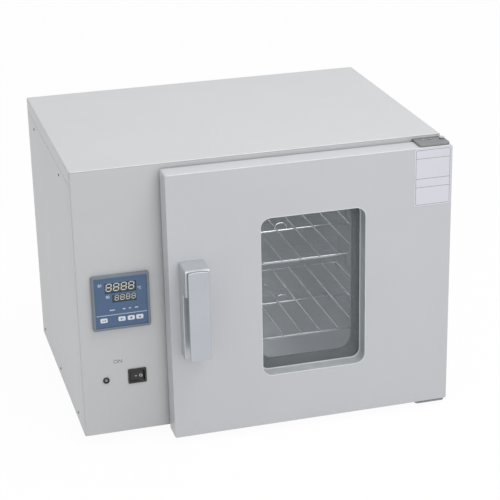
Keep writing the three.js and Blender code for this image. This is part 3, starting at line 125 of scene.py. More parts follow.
def make_world():
    world = bpy.data.worlds.new("studio")
    scene.world = world
    world.use_nodes = True
    tree = world.node_tree
    tree.nodes.clear()
    lighting = node(tree, "ShaderNodeBackground")
    lighting.inputs["Color"].default_value = (0.97, 0.985, 1.0, 1)
    lighting.inputs["Strength"].default_value = world_light
    seen = node(tree, "ShaderNodeBackground")
    seen.inputs["Color"].default_value = (1, 1, 1, 1)
    seen.inputs["Strength"].default_value = 1.0
    mix = node(tree, "ShaderNodeMixShader")
    output = node(tree, "ShaderNodeOutputWorld")
    tree.links.new(seen_directly(tree), mix.inputs[0])
    tree.links.new(lighting.outputs[0], mix.inputs[1])
    tree.links.new(seen.outputs[0], mix.inputs[2])
    tree.links.new(mix.outputs[0], output.inputs["Surface"])


def area_lamp(name, place, target, size, power, mirrored=True):
    """A square lamp that isn't seen itself, though steel and paint may mirror it."""
    data = bpy.data.lights.new(name, "AREA")
    data.shape = "SQUARE"
    data.size = size
    data.energy = power
    lamp = bpy.data.objects.new(name, data)
    lamp.location = place
    lamp.visible_camera = False
    lamp.visible_glossy = mirrored
    lamp.rotation_mode = "QUATERNION"
    lamp.rotation_quaternion = (Vector(target) - Vector(place)).to_track_quat("-Z", "Y")
    scene.collection.objects.link(lamp)


make_world()
area_lamp("key", (0.6, -0.8, 2.5), (0, 0, 0.3), 1.3, key_power, mirrored=False)
area_lamp("fill", (0.3, -2.6, 1.0), (0, 0, 0.2), 1.2, fill_power)
area_lamp("side", (-2.4, 0.1, 0.9), (-0.3, 0, 0.25), 1.2, side_power)
area_lamp("chamber", (0.07, -0.06, 0.395), (0.07, 0.06, 0.05), 0.22, chamber_power)

# %% [markdown]
# The floor is one large pale sheet. A plain white one would come out grey where the lamps reach it
# little, so it is mostly a soft glow for the camera, with a share of matt paint that takes shadows.

# %% Floor
floor_half = 6.0
floor_glow = 0.93
floor_strength = 1.03
floor_colour = (0.66, 0.655, 0.65, 1)


def make_floor():
    mesh = bpy.data.meshes.new("floor")
    corners = [(-floor_half, -floor_half, 0), (floor_half, -floor_half, 0),
               (floor_half, floor_half, 0), (-floor_half, floor_half, 0)]
    mesh.from_pydata(corners, [], [(0, 1, 2, 3)])
    floor = bpy.data.objects.new("floor", mesh)
    scene.collection.objects.link(floor)
    material = bpy.data.materials.new("floor white")
    material.use_nodes = True
    tree = material.node_tree
    tree.nodes.clear()
    matt = node(tree, "ShaderNodeBsdfDiffuse")
    matt.inputs["Color"].default_value = floor_colour
    glow = node(tree, "ShaderNodeEmission")
    glow.inputs["Strength"].default_value = floor_strength
    share = node(tree, "ShaderNodeMath", operation="MULTIPLY")
    share.inputs[1].default_value = floor_glow
    mix = node(tree, "ShaderNodeMixShader")
    output = node(tree, "ShaderNodeOutputMaterial")
    tree.links.new(seen_directly(tree), share.inputs[0])
    tree.links.new(share.outputs[0], mix.inputs[0])
    tree.links.new(matt.outputs[0], mix.inputs[1])
    tree.links.new(glow.outputs[0], mix.inputs[2])
    tree.links.new(mix.outputs[0], output.inputs["Surface"])
    mesh.materials.append(material)


make_floor()
print("a floor", 2 * floor_half, "m wide")

# %% [markdown]
# ## Finishes
# Most of an oven is one of four families: powder paint, brushed or polished steel, moulded plastic,
# and soft fillers. Glass and print come on top. Each is one Principled shader with three noises: a
# broad one that lets the colour drift, a fine one that breaks up the roughness, and the same fine one
# as a bump. Brushed steel differs only in that the fine noise is pulled long in one direction. All
# noises read Object coordinates, so they stay put when a door swings.

# %% Finish builder
def srgb(red, green, blue):
    """A colour as a picture gives it, 0 to 255, turned into the linear values that shaders use."""
    def linear(value):
        value /= 255
        return value / 12.92 if value <= 0.04045 else ((value + 0.055) / 1.055) ** 2.4
    return (linear(red), linear(green), linear(blue), 1.0)


def shaded(colour, factor):
    return tuple(min(1.0, channel * factor) for channel in colour[:3]) + (1.0,)


def noise(tree, scale, stretch=(1, 1, 1), detail=2.0):
    coordinates = node(tree, "ShaderNodeTexCoord")
    mapping = node(tree, "ShaderNodeMapping")
    mapping.inputs["Scale"].default_value = stretch
    texture = node(tree, "ShaderNodeTexNoise")
    texture.inputs["Scale"].default_value = scale
    texture.inputs["Detail"].default_value = detail
    tree.links.new(coordinates.outputs["Object"], mapping.inputs["Vector"])
    tree.links.new(mapping.outputs["Vector"], texture.inputs["Vector"])
    return texture.outputs["Fac"]


def remap(tree, value, low, high):
    ramp = node(tree, "ShaderNodeMapRange")
    ramp.inputs["From Min"].default_value = 0.3
    ramp.inputs["From Max"].default_value = 0.7
    ramp.inputs["To Min"].default_value = low
    ramp.inputs["To Max"].default_value = high
    tree.links.new(value, ramp.inputs["Value"])
    return ramp.outputs["Result"]


def blend_colours(tree, factor, first, second):
    mix = node(tree, "ShaderNodeMix", data_type="RGBA")
    for socket in mix.inputs:
        if socket.type == "RGBA":
            socket.default_value = first if socket.name == "A" else second
    tree.links.new(factor, mix.inputs["Factor"])
    return next(socket for socket in mix.outputs if socket.type == "RGBA")


def finish(name, colour, roughness, metallic=0.0, drift=0.02, drift_scale=7.0, grain_scale=900.0,
           stretch=(1, 1, 1), wander=0.05, bump=0.02, bump_distance=0.0002, **sockets):
    material = bpy.data.materials.new(name)
    material.use_nodes = True
    tree = material.node_tree
    shader = tree.nodes["Principled BSDF"]
    shader.inputs["Metallic"].default_value = metallic
    for socket, value in sockets.items():
        shader.inputs[socket.replace("_", " ")].default_value = value
    broad = remap(tree, noise(tree, drift_scale), 0.0, 1.0)
    tree.links.new(
        blend_colours(tree, broad, shaded(colour, 1 - drift), shaded(colour, 1 + drift)),
        shader.inputs["Base Color"])
    grain = noise(tree, grain_scale, stretch, 3.0)
    tree.links.new(remap(tree, grain, roughness - wander, roughness + wander),
                   shader.inputs["Roughness"])
    relief = node(tree, "ShaderNodeBump")
    relief.inputs["Strength"].default_value = bump
    relief.inputs["Distance"].default_value = bump_distance
    tree.links.new(grain, relief.inputs["Height"])
    tree.links.new(relief.outputs["Normal"], shader.inputs["Normal"])
    return material


# %% Finishes of the oven
powder_paint = finish("powder paint", srgb(212, 213, 214), 0.42, drift=0.012, grain_scale=700.0,
                      bump=0.05, Coat_Weight=0.1)
door_paint = finish("door paint", srgb(213, 214, 217), 0.4, drift=0.014, grain_scale=700.0,
                    bump=0.05, Coat_Weight=0.1)
brushed_level = finish("stainless brushed level", srgb(205, 208, 210), 0.34, 1.0, drift=0.05,
                       grain_scale=260.0, stretch=(0.04, 0.04, 3.0), wander=0.08, bump=0.08)
brushed_upright = finish("stainless brushed upright", srgb(203, 206, 208), 0.36, 1.0, drift=0.05,
                         grain_scale=260.0, stretch=(3.0, 3.0, 0.04), wander=0.08, bump=0.08)
satin_chrome = finish("satin chrome", srgb(186, 190, 196), 0.3, 1.0, drift=0.03,
                      drift_scale=12.0, grain_scale=900.0, wander=0.03, bump=0.004)
cast_chrome = finish("cast chrome", srgb(203, 206, 208), 0.36, 0.55, drift=0.04,
                     drift_scale=30.0, grain_scale=700.0, wander=0.04, bump=0.006)
hinge_steel = finish("hinge steel", srgb(146, 148, 150), 0.48, 0.85, drift=0.08,
                     drift_scale=90.0, grain_scale=500.0, wander=0.08, bump=0.12)
trim_steel = finish("window trim", srgb(196, 199, 201), 0.42, 0.25, drift=0.05,
                    drift_scale=50.0, grain_scale=400.0, stretch=(1, 1, 0.1), bump=0.08)
# Paler than the sheet paint: a painted highlight, used on the folds and on the window's lip.
painted_highlight = finish("paint on a fold", srgb(238, 239, 241), 0.3, drift=0.02, drift_scale=20.0,
                     grain_scale=700.0, bump=0.03, Coat_Weight=0.3)
bead_silicone = finish("clear silicone bead", srgb(222, 226, 228), 0.3, drift=0.03,
                       drift_scale=60.0, grain_scale=600.0, bump=0.06)
wire_chrome = finish("bright wire", srgb(220, 222, 224), 0.2, 1.0, drift=0.04,
                     grain_scale=500.0, wander=0.05, bump=0.02)
zinc_steel = finish("zinc-plated steel", srgb(168, 170, 172), 0.42, 0.9, drift=0.08,
                    drift_scale=60.0, grain_scale=500.0, wander=0.08, bump=0.08)
dark_steel = finish("heater steel", srgb(112, 106, 100), 0.5, 0.8, drift=0.12, drift_scale=40.0,
                    grain_scale=400.0, wander=0.08, bump=0.1)
motor_paint = finish("motor casting", srgb(96, 100, 104), 0.5, 0.3, drift=0.05, grain_scale=500.0,
                     bump=0.15)
black_plastic = finish("black plastic", srgb(42, 42, 40), 0.42, drift=0.08, drift_scale=40.0,
                       grain_scale=1400.0, bump=0.12)
bezel_plastic = finish("grey bezel plastic", srgb(128, 138, 150), 0.45, drift=0.03,
                       drift_scale=30.0, grain_scale=1500.0, bump=0.1)
face_foil = finish("blue face foil", srgb(83, 109, 143), 0.36, drift=0.03, drift_scale=30.0,
                   grain_scale=1600.0, bump=0.06)
key_plastic = finish("pale key", srgb(236, 243, 255), 0.4, drift=0.02, drift_scale=60.0,
                     grain_scale=1600.0, bump=0.05)
dark_lens = finish("dark display pane", srgb(52, 70, 78), 0.14, drift=0.05, drift_scale=60.0,
                   grain_scale=900.0, wander=0.02, bump=0.01)
foot_rubber = finish("foot rubber", srgb(34, 34, 34), 0.78, drift=0.1, drift_scale=60.0,
                     grain_scale=1500.0, bump=0.25)
# A dark strip standing for the shade in each seam gap: painted shade.
seam_shade_dark = finish("seam seal", srgb(62, 63, 64), 0.7, drift=0.08, drift_scale=40.0,
                     grain_scale=900.0, bump=0.1)
gasket_silicone = finish("gasket silicone", srgb(178, 62, 50), 0.55, drift=0.06,
                         drift_scale=30.0, grain_scale=1200.0, bump=0.15)
mineral_wool = finish("mineral wool", srgb(206, 194, 150), 0.95, drift=0.16, drift_scale=90.0,
                      grain_scale=420.0, stretch=(1, 1, 5), wander=0.04, bump=0.9,
                      bump_distance=0.0012)
tunnel_black = finish("window tunnel black", srgb(70, 70, 70), 0.6, 0.1, drift=0.25,
                      drift_scale=260.0, grain_scale=700.0, bump=0.5, bump_distance=0.0005)
lamp_lens = finish("lamp lens", srgb(150, 152, 150), 0.25, drift=0.2, drift_scale=900.0,
                   grain_scale=900.0, bump=0.1, Coat_Weight=0.5)
label_white = finish("label white", srgb(232, 232, 240), 0.4, drift=0.01, drift_scale=20.0,
                     grain_scale=1200.0, bump=0.03)
label_line = finish("label line", srgb(150, 153, 162), 0.45, drift=0.03, drift_scale=60.0,
                    bump=0.03)
print_white = finish("white print", srgb(228, 236, 250), 0.5, drift=0.03, drift_scale=90.0,
                     bump=0.03)
print_dark = finish("dark print", srgb(66, 72, 88), 0.5, drift=0.05, drift_scale=90.0, bump=0.03)
print_grey = finish("grey print", srgb(122, 122, 118), 0.5, drift=0.05, drift_scale=90.0, bump=0.03)
digit_glow = finish("display digits", srgb(214, 212, 204), 0.4, drift=0.02, drift_scale=90.0,
                    bump=0.02, Emission_Color=srgb(214, 212, 204), Emission_Strength=0.25)
outer_glass = finish("outer glass", srgb(168, 174, 178), 0.05, drift=0.04, drift_scale=14.0,
                     wander=0.02, bump=0.0, Alpha=0.2)
inner_glass = finish("inner glass", srgb(150, 156, 158), 0.05, drift=0.01, wander=0.02,
                     bump=0.0, Alpha=0.06)
print(len(bpy.data.materials), "finishes")

# %% [markdown]
# ## Softening the sheet metal
# The solids arrive as loose triangles with razor edges. A real folded sheet catches a thin line of
# light along every bend. The cheapest honest way to get it is to copy a solid, weld its triangles,
# merge the flat ones into whole faces, and put a small bevel on what is left. Normals are then
# weighted by face area, so that the big flat faces stay flat and only the bevels shade round.

# %% Softener
weld_distance = 0.02 * mm
flat_within = math.radians(0.6)
bevel_from = math.radians(28.0)
flat_weight = 90


def soften(name, material, width=0.35 * mm, steps=2):
    """A welded copy of a solid with softened edges, which then stands for it."""
    piece = bpy.data.objects.new(name + "_finished", frame["nodes"][name].data.copy())
    scene.collection.objects.link(piece)
    made = bmesh.new()
    made.from_mesh(piece.data)
    bmesh.ops.remove_doubles(made, verts=made.verts, dist=weld_distance)
    bmesh.ops.dissolve_limit(made, angle_limit=flat_within, verts=made.verts,
                             edges=made.edges)
    for face in made.faces:
        face.smooth = True
    made.to_mesh(piece.data)
    made.free()
    piece.data.materials.clear()
    piece.data.materials.append(material)
    bevel = piece.modifiers.new("soft edges", "BEVEL")
    bevel.width = width
    bevel.segments = steps
    bevel.limit_method = "ANGLE"
    bevel.angle_limit = bevel_from
    bevel.use_clamp_overlap = True
    weighted = piece.modifiers.new("flat faces", "WEIGHTED_NORMAL")
    weighted.keep_sharp = True
    weighted.weight = flat_weight
    plain_mesh(piece)
    stand_for(piece, name)
    return piece


def plain_mesh(piece):
    """Turns a piece with live modifiers into the plain mesh that they make."""
    graph = bpy.context.evaluated_depsgraph_get()
    graph.update()
    made = bpy.data.meshes.new_from_object(piece.evaluated_get(graph))
    piece.modifiers.clear()
    piece.data = made
    made.name = piece.name


def stand_for(piece, name):
    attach(piece, body_of[name])
    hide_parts(name)


def soften_all(names, material, width):
    for name in names:
        soften(name, material, width)
    print(len(names), "in", material.name)


# %% Cabinet sheets
soften_all(("front_panel", "left_side_panel", "right_side_panel", "back_panel", "base_pan"),
           powder_paint, 0.35 * mm)
soften("top_cover", powder_paint, 0.55 * mm, 3)
door_finished = soften("door_skin", door_paint, 0.9 * mm, 3)
door_finished.data.materials.append(trim_steel)
pane_low, pane_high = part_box("glass_outer")
for face in door_finished.data.polygons:
    inside = all(pane_low[axis] < face.center[axis] < pane_high[axis] for axis in (0, 2))
    if inside and abs(face.normal.y) < 0.5:
        face.material_index = 1
print("the window's turned-in edge has its own steel trim")

# %% [markdown]
# The chamber is brushed stainless steel. The grain lies level on its walls and upright on the door's
# inner panel, so that the panel reads as a sheet of its own when the door stands open.

# %% Stainless sheets
soften_all(("chamber_liner", "mouth_frame", "duct_plate_left", "duct_plate_right",
            "runner_upper_left", "runner_upper_right", "runner_lower_left", "runner_lower_right"),
           brushed_level, 0.25 * mm)
soften("door_inner_panel", brushed_upright, 0.25 * mm)
soften("vent_tube", zinc_steel, 0.25 * mm)

# %% [markdown]
# Different finishes tell the door's layers apart: clear panes in a dark tunnel, a red gasket, dull
# hinges, zinc on what is hidden, and chrome where a hand goes.

# %% Door parts
soften("window_frame", tunnel_black, 0.4 * mm)
soften("door_gasket", gasket_silicone, 0.4 * mm)
soften("glass_outer", outer_glass, 0.4 * mm)
soften("glass_inner", inner_glass, 0.4 * mm)
soften_all(("hinge_block_top", "hinge_block_bottom", "hinge_bracket_top", "hinge_bracket_bottom"),
           hinge_steel, 0.3 * mm)
soften_all(("handle_pin", "latch_hook", "latch_keeper"), zinc_steel, 0.3 * mm)
soften_all(("handle_lever", "hinge_pin_top", "hinge_pin_bottom"), satin_chrome, 0.3 * mm)
soften("handle_base", cast_chrome, 0.35 * mm, 3)
soften_all(("insulation", "door_insulation"), mineral_wool, 0.8 * mm)

# %% [markdown]
# Little of the machinery is seen, yet the joints turn the fan and the picture may be taken with the
# door open. Thin blades and tubes get the smallest bevels, so that they keep their thickness.

# %% Machinery
soften_all(("fan_impeller", "motor_bracket", "relay"), zinc_steel, 0.15 * mm)
soften_all(("heater", "temperature_probe"), dark_steel, 0.1 * mm)
soften("fan_motor", motor_paint, 0.5 * mm)

# %% [markdown]
# Controls and feet are moulded. A moulding's edges are rounder than a cut sheet's, so the bevels
# grow with the size of the part, from the thin face to the rubber feet.

# %% Controls
soften("controller_bezel", bezel_plastic, 0.4 * mm)
soften("controller_face", face_foil, 0.15 * mm)
soften("controller_housing", black_plastic, 0.5 * mm)
soften("display_window", dark_lens, 0.1 * mm)
soften_all(("key_set", "key_left", "key_down", "key_up"), key_plastic, 0.15 * mm)
soften("lamp_bezel", black_plastic, 0.2 * mm)
soften("lamp_lens", lamp_lens, 0.2 * mm)
soften("switch_housing", black_plastic, 0.3 * mm)
soften("switch_rocker", black_plastic, 0.3 * mm)
soften("vent_shutter", black_plastic, 0.4 * mm)
soften("cable_gland", black_plastic, 0.3 * mm)
soften_all(("foot_front_left", "foot_front_right", "foot_back_left", "foot_back_right"),
           foot_rubber, 0.6 * mm)

# %% [markdown]
# ## Pieces that nodes grow
# Wires, screws and display segments repeat, so Geometry Nodes make them. Each tree is a small
# machine with named inputs: the same wire tree draws both shelves, and the same placing tree sets
# every screw. Each tree ends in realized instances with one material. Its result is taken over as
# a plain mesh, because the frame's joints move plain meshes.

# %% Tree tools
def at(x, y, z):
    """A place in the oven's own axes, in millimetres from its left front bottom corner."""
    return Vector(((x - 315.2) * mm, (y - 185.4) * mm, (z + 18) * mm))


def new_tree(name, takes_mesh, **inputs):
    tree = bpy.data.node_groups.new(name, "GeometryNodeTree")
    tree.interface.new_socket("Mesh", in_out="OUTPUT", socket_type="NodeSocketGeometry")
    if takes_mesh:
        tree.interface.new_socket("Mesh", in_out="INPUT", socket_type="NodeSocketGeometry")
    for label, kind in inputs.items():
        tree.interface.new_socket(label.replace("_", " "), in_out="INPUT",
                                  socket_type="NodeSocket" + kind)
    return tree, node(tree, "NodeGroupInput")


def end_tree(tree, start, made):
    """Ends a tree in realized instances, smooth shading and the material that it was given."""
    realized = node(tree, "GeometryNodeRealizeInstances")
    smooth = node(tree, "GeometryNodeSetShadeSmooth")
    painted = node(tree, "GeometryNodeSetMaterial")
    output = node(tree, "NodeGroupOutput")
    tree.links.new(made, realized.inputs["Geometry"])
    tree.links.new(realized.outputs["Geometry"], smooth.inputs["Geometry"])
    tree.links.new(smooth.outputs["Geometry"], painted.inputs["Geometry"])
    tree.links.new(start.outputs["Material"], painted.inputs["Material"])
    tree.links.new(painted.outputs["Geometry"], output.inputs["Mesh"])


def feed(tree, made, values):
    """Fills a node's inputs and gives its result. A number is typed in, and a socket is linked."""
    for socket, value in zip(made.inputs, values):
        if isinstance(value, (int, float)):
            socket.default_value = value
        else:
            tree.links.new(value, socket)
    return made.outputs[0]


def arithmetic(tree, operation, first, second):
    return feed(tree, node(tree, "ShaderNodeMath", operation=operation), (first, second))


def point(tree, x=0.0, y=0.0, z=0.0):
    return feed(tree, node(tree, "ShaderNodeCombineXYZ"), (x, y, z))


def grow(name, tree, mesh=None, **settings):
    """Runs a tree on an object and keeps its result as a plain mesh."""
    piece = bpy.data.objects.new(name, mesh or bpy.data.meshes.new(name))
    scene.collection.objects.link(piece)
    modifier = piece.modifiers.new("grow", "NODES")
    modifier.node_group = tree
    for item in tree.interface.items_tree:
        if item.in_out == "INPUT" and item.name in settings:
            modifier[item.identifier] = settings[item.name]
    plain_mesh(piece)
    return piece


# %% Wire shelf tree
def wire_tree():
    tree, start = new_tree("wire shelf", False, Width="Float", Depth="Float", Wire="Float",
                           Rod="Float", Bend="Float", Middle="Float", Rods="Int",
                           Pitch="Float", Overhang="Float", Rod_Lift="Float", Loop_Shift="Float",
                           Loop_Width="Float", Loop_Rise="Float", Material="Material")
    given = start.outputs

    def round_wire(path, radius, sides=10):
        circle = node(tree, "GeometryNodeCurvePrimitiveCircle")
        circle.inputs["Resolution"].default_value = sides
        swept = node(tree, "GeometryNodeCurveToMesh")
        swept.inputs["Fill Caps"].default_value = True
        tree.links.new(radius, circle.inputs["Radius"])
        tree.links.new(path, swept.inputs["Curve"])
        tree.links.new(circle.outputs["Curve"], swept.inputs["Profile Curve"])
        return swept.outputs["Mesh"]

    def straight(first, last):
        line = node(tree, "GeometryNodeCurvePrimitiveLine")
        tree.links.new(first, line.inputs["Start"])
        tree.links.new(last, line.inputs["End"])
        return line.outputs["Curve"]

    def times(first, second):
        return arithmetic(tree, "MULTIPLY", first, second)

    rectangle = node(tree, "GeometryNodeCurvePrimitiveQuadrilateral")
    tree.links.new(given["Width"], rectangle.inputs["Width"])
    tree.links.new(given["Depth"], rectangle.inputs["Height"])
    bends = node(tree, "GeometryNodeFilletCurve", mode="POLY")
    bends.inputs["Count"].default_value = 6
    tree.links.new(rectangle.outputs["Curve"], bends.inputs["Curve"])
    tree.links.new(given["Bend"], bends.inputs["Radius"])

    across = straight(point(tree, times(given["Width"], -0.5), given["Middle"]),
                      point(tree, times(given["Width"], 0.5), given["Middle"]))

    reach = arithmetic(tree, "ADD", times(given["Depth"], 0.5), given["Overhang"])
    rod = round_wire(straight(point(tree, 0.0, times(reach, -1.0), 0.0),
                              point(tree, 0.0, reach, 0.0)), given["Rod"])
    span = times(arithmetic(tree, "SUBTRACT", given["Rods"], 1), given["Pitch"])
    row = node(tree, "GeometryNodeMeshLine", mode="OFFSET")
    tree.links.new(given["Rods"], row.inputs["Count"])
    tree.links.new(point(tree, times(span, -0.5), 0.0, given["Rod Lift"]),
                   row.inputs["Start Location"])
    tree.links.new(point(tree, given["Pitch"]), row.inputs["Offset"])
    rods = node(tree, "GeometryNodeInstanceOnPoints")
    tree.links.new(row.outputs["Mesh"], rods.inputs["Points"])
    tree.links.new(rod, rods.inputs["Instance"])

    half = times(given["Loop Width"], 0.5)
    left = arithmetic(tree, "SUBTRACT", given["Loop Shift"], half)
    right = arithmetic(tree, "ADD", given["Loop Shift"], half)
    peak = times(given["Loop Rise"], 4 / 3)
    loop = node(tree, "GeometryNodeCurvePrimitiveBezierSegment")
    loop.inputs["Resolution"].default_value = 20
    for socket, place in (("Start", point(tree, left, given["Middle"])),
                          ("Start Handle", point(tree, left, given["Middle"], peak)),
                          ("End Handle", point(tree, right, given["Middle"], peak)),
                          ("End", point(tree, right, given["Middle"]))):
        tree.links.new(place, loop.inputs[socket])

    together = node(tree, "GeometryNodeJoinGeometry")
    for made in (round_wire(bends.outputs["Curve"], given["Wire"], 12),
                 round_wire(across, given["Wire"], 12),
                 rods.outputs["Instances"],
                 round_wire(loop.outputs["Curve"], given["Rod"])):
        tree.links.new(made, together.inputs["Geometry"])
    end_tree(tree, start, together.outputs["Geometry"])
    return tree


# %% [markdown]
# A shelf's width, depth and place come from its solid's box. What a box can't tell is typed: the
# wires' thickness, the rods' count and spacing, the corners' bend, the middle wire and the lifting
# loop. The solid's wires have six sides with a flat one below, so the middle of the wire lies less
# than its radius above the box's floor, and the round wire keeps that middle.

# %% Wire shelves
shelf_tree = wire_tree()
wire_radius = 2.2 * mm
rod_radius = 1.5 * mm
rod_count = 9
rod_pitch = 33 * mm
rod_lift = 3 * mm
rod_overhang = 2 * mm
frame_bend = 9 * mm
middle_from_front = 145 * mm
loop_shift, loop_width, loop_rise = 8 * mm, 24 * mm, 14 * mm
flat_share = math.cos(math.radians(30))
for name in ("shelf_upper", "shelf_lower"):
    low, high = (Vector(corner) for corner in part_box(name))
    centre = (low + high) / 2
    floor_of_shelf = low.z + wire_radius * flat_share
    depth = high.y - low.y - 2 * rod_overhang
    shelf = grow(name + "_wires", shelf_tree, **{
        "Width": high.x - low.x - 2 * wire_radius, "Depth": depth, "Wire": wire_radius,
        "Rod": rod_radius, "Bend": frame_bend, "Middle": low.y + middle_from_front - centre.y,
        "Rods": rod_count, "Pitch": rod_pitch, "Overhang": rod_overhang, "Rod Lift": rod_lift,
        "Loop Shift": loop_shift, "Loop Width": loop_width, "Loop Rise": loop_rise,
        "Material": wire_chrome})
    shelf.data.transform(Matrix.Translation((centre.x, centre.y, floor_of_shelf)))
    stand_for(shelf, name)
    print(name, len(shelf.data.polygons), "faces")

# %% [markdown]
# ## Window bead and highlight lip
# A bead of silicone seals the outer pane into the door, and the painted sheet ends in a thin rolled
# lip round the opening. The lip is given a paler paint than the door, a painted highlight where the
# edge would catch the light. Both are a round section that follows the window's outline, so one tree
# makes them: it takes the outline's size, its corner and the section's radius.
# The rounded rectangle comes from a plain one whose corners are filleted.

# %% Bead tree
def bead_tree():
    tree, start = new_tree("bead round a window", False, Width="Float", Height="Float",
                           Corner="Float", Bead="Float", Centre="Vector", Material="Material")
    outline = node(tree, "GeometryNodeCurvePrimitiveQuadrilateral", mode="RECTANGLE")
    fillet = node(tree, "GeometryNodeFilletCurve", mode="POLY")
    fillet.inputs["Count"].default_value = 10
    section = node(tree, "GeometryNodeCurvePrimitiveCircle", mode="RADIUS")
    section.inputs["Resolution"].default_value = 12
    swept = node(tree, "GeometryNodeCurveToMesh")
    upright = node(tree, "GeometryNodeTransform")
    upright.inputs["Rotation"].default_value = (math.pi / 2, 0, 0)
    tree.links.new(start.outputs["Width"], outline.inputs["Width"])
    tree.links.new(start.outputs["Height"], outline.inputs["Height"])
    tree.links.new(outline.outputs["Curve"], fillet.inputs["Curve"])
    tree.links.new(start.outputs["Corner"], fillet.inputs["Radius"])
    tree.links.new(start.outputs["Bead"], section.inputs["Radius"])
    tree.links.new(fillet.outputs["Curve"], swept.inputs["Curve"])
    tree.links.new(section.outputs["Curve"], swept.inputs["Profile Curve"])
    tree.links.new(swept.outputs["Mesh"], upright.inputs["Geometry"])
    tree.links.new(start.outputs["Centre"], upright.inputs["Translation"])
    end_tree(tree, start, upright.outputs["Geometry"])
    return tree


# %% Window bead and highlight lip
pane_lap = 5.0 * mm
opening_corner = 17.0 * mm
beads = bead_tree()


def follow_window(name, radius, spread, centre_y, material):
    """A round section along the window's opening, spread outwards from it by a small distance."""
    shrink = 2 * (pane_lap - spread)
    piece = grow(name, beads, Width=pane_high[0] - pane_low[0] - shrink,
                 Height=pane_high[2] - pane_low[2] - shrink, Corner=opening_corner + spread,
                 Bead=radius, Centre=((pane_low[0] + pane_high[0]) / 2, centre_y,
                                      (pane_low[2] + pane_high[2]) / 2), Material=material)
    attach(piece, body_of["door_skin"])
    print(name, "radius", round(radius / mm, 2), "mm")


bead_radius, lip_radius = 1.1 * mm, 0.7 * mm
follow_window("window_bead", bead_radius, -bead_radius, pane_low[1] - bead_radius / 2,
              bead_silicone)
# The lip's paler paint is a painted highlight round the window.
follow_window("window_lip", lip_radius, 0.5 * lip_radius,
              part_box("door_skin")[0][1] + 0.6 * lip_radius, painted_highlight)

# %% [markdown]
# ## Screws
# One pan head is turned from a profile and a cross is cut from it. A small mesh of loose points says
# where the heads sit, and each point carries the direction that its head faces. The tree turns and
# sets a copy of the head on every point.

# %% Screw head
def new_piece(name, made, material):
    """An object from a bmesh, which is used up."""
    mesh = bpy.data.meshes.new(name)
    made.to_mesh(mesh)
    made.free()
    mesh.materials.append(material)
    piece = bpy.data.objects.new(name, mesh)
    scene.collection.objects.link(piece)
    return piece


def turned(profile, steps=32):
    """A closed form turned about +Z from (radius, height) points that start and end on the axis."""
    made = bmesh.new()
    rows = [[made.verts.new((radius * math.cos(angle), radius * math.sin(angle), height))
             for angle in (math.tau * i / steps for i in range(steps))]
            for radius, height in profile[1:-1]]
    first = made.verts.new((0, 0, profile[0][1]))
    last = made.verts.new((0, 0, profile[-1][1]))
    for i in range(steps):
        j = (i + 1) % steps
        made.faces.new((first, rows[0][j], rows[0][i]))
        made.faces.new((last, rows[-1][i], rows[-1][j]))
        for below, above in zip(rows, rows[1:]):
            made.faces.new((below[i], below[j], above[j], above[i]))
    bmesh.ops.recalc_face_normals(made, faces=made.faces)
    return made


def block(made, low, high):
    """Adds a plain block between two corners."""
    size = [b - a for a, b in zip(low, high)]
    middle = [(a + b) / 2 for a, b in zip(low, high)]
    bmesh.ops.create_cube(made, size=1.0, matrix=Matrix.Translation(middle)
                          @ Matrix.Diagonal((*size, 1)))


def pan_head(name, radius, height, material):
    rim = [(radius * share, height * rise) for share, rise in (
        (0.98, 0.0), (1.0, 0.25), (0.97, 0.5), (0.86, 0.78), (0.66, 0.94), (0.4, 1.0))]
    head = new_piece(name, turned([(0, -height / 3), (radius * 0.98, -height / 3), *rim,
                                   (0, height)]), material)
    arms = bmesh.new()
    long, thin, deep = radius * 0.62, radius * 0.13, height * 0.35
    block(arms, (-long, -thin, deep), (long, thin, 2 * height))
    block(arms, (-thin, -long, deep), (thin, -thin, 2 * height))
    block(arms, (-thin, thin, deep), (thin, long, 2 * height))
    bmesh.ops.remove_doubles(arms, verts=arms.verts, dist=thin / 100)
    cross = new_piece(name + "_cross", arms, material)
    recess = head.modifiers.new("cross", "BOOLEAN")
    recess.object = cross
    recess.solver = "EXACT"
    recess.use_self = True
    plain_mesh(head)
    bpy.data.objects.remove(cross)
    return head


def placing_tree():
    tree, start = new_tree("place on points", True, Head="Object", Material="Material")
    facing = node(tree, "GeometryNodeInputNamedAttribute", data_type="FLOAT_VECTOR")
    facing.inputs["Name"].default_value = "facing"
    turn = node(tree, "FunctionNodeAlignRotationToVector", axis="Z")
    head = node(tree, "GeometryNodeObjectInfo")
    placed = node(tree, "GeometryNodeInstanceOnPoints")
    tree.links.new(facing.outputs["Attribute"], turn.inputs["Vector"])
    tree.links.new(start.outputs["Head"], head.inputs["Object"])
    tree.links.new(start.outputs["Mesh"], placed.inputs["Points"])
    tree.links.new(head.outputs["Geometry"], placed.inputs["Instance"])
    tree.links.new(turn.outputs["Rotation"], placed.inputs["Rotation"])
    end_tree(tree, start, placed.outputs["Instances"])
    return tree


def points_mesh(name, places):
    mesh = bpy.data.meshes.new(name)
    mesh.from_pydata([at(*place) for place, direction in places], [], [])
    facing = mesh.attributes.new("facing", "FLOAT_VECTOR", "POINT")
    facing.data.foreach_set("vector", [number for place, direction in places
                                       for number in direction])
    return mesh


placing = placing_tree()
panel_head = pan_head("panel_head", 3.2 * mm, 1.5 * mm, zinc_steel)
small_head = pan_head("small_head", 2.3 * mm, 1.1 * mm, zinc_steel)


def set_screws(name, node_name, head, places, material=zinc_steel):
    screws = grow(name, placing, points_mesh(name, places), Head=head, Material=material)
    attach(screws, body_of[node_name])
    print(name, len(places), "screws")
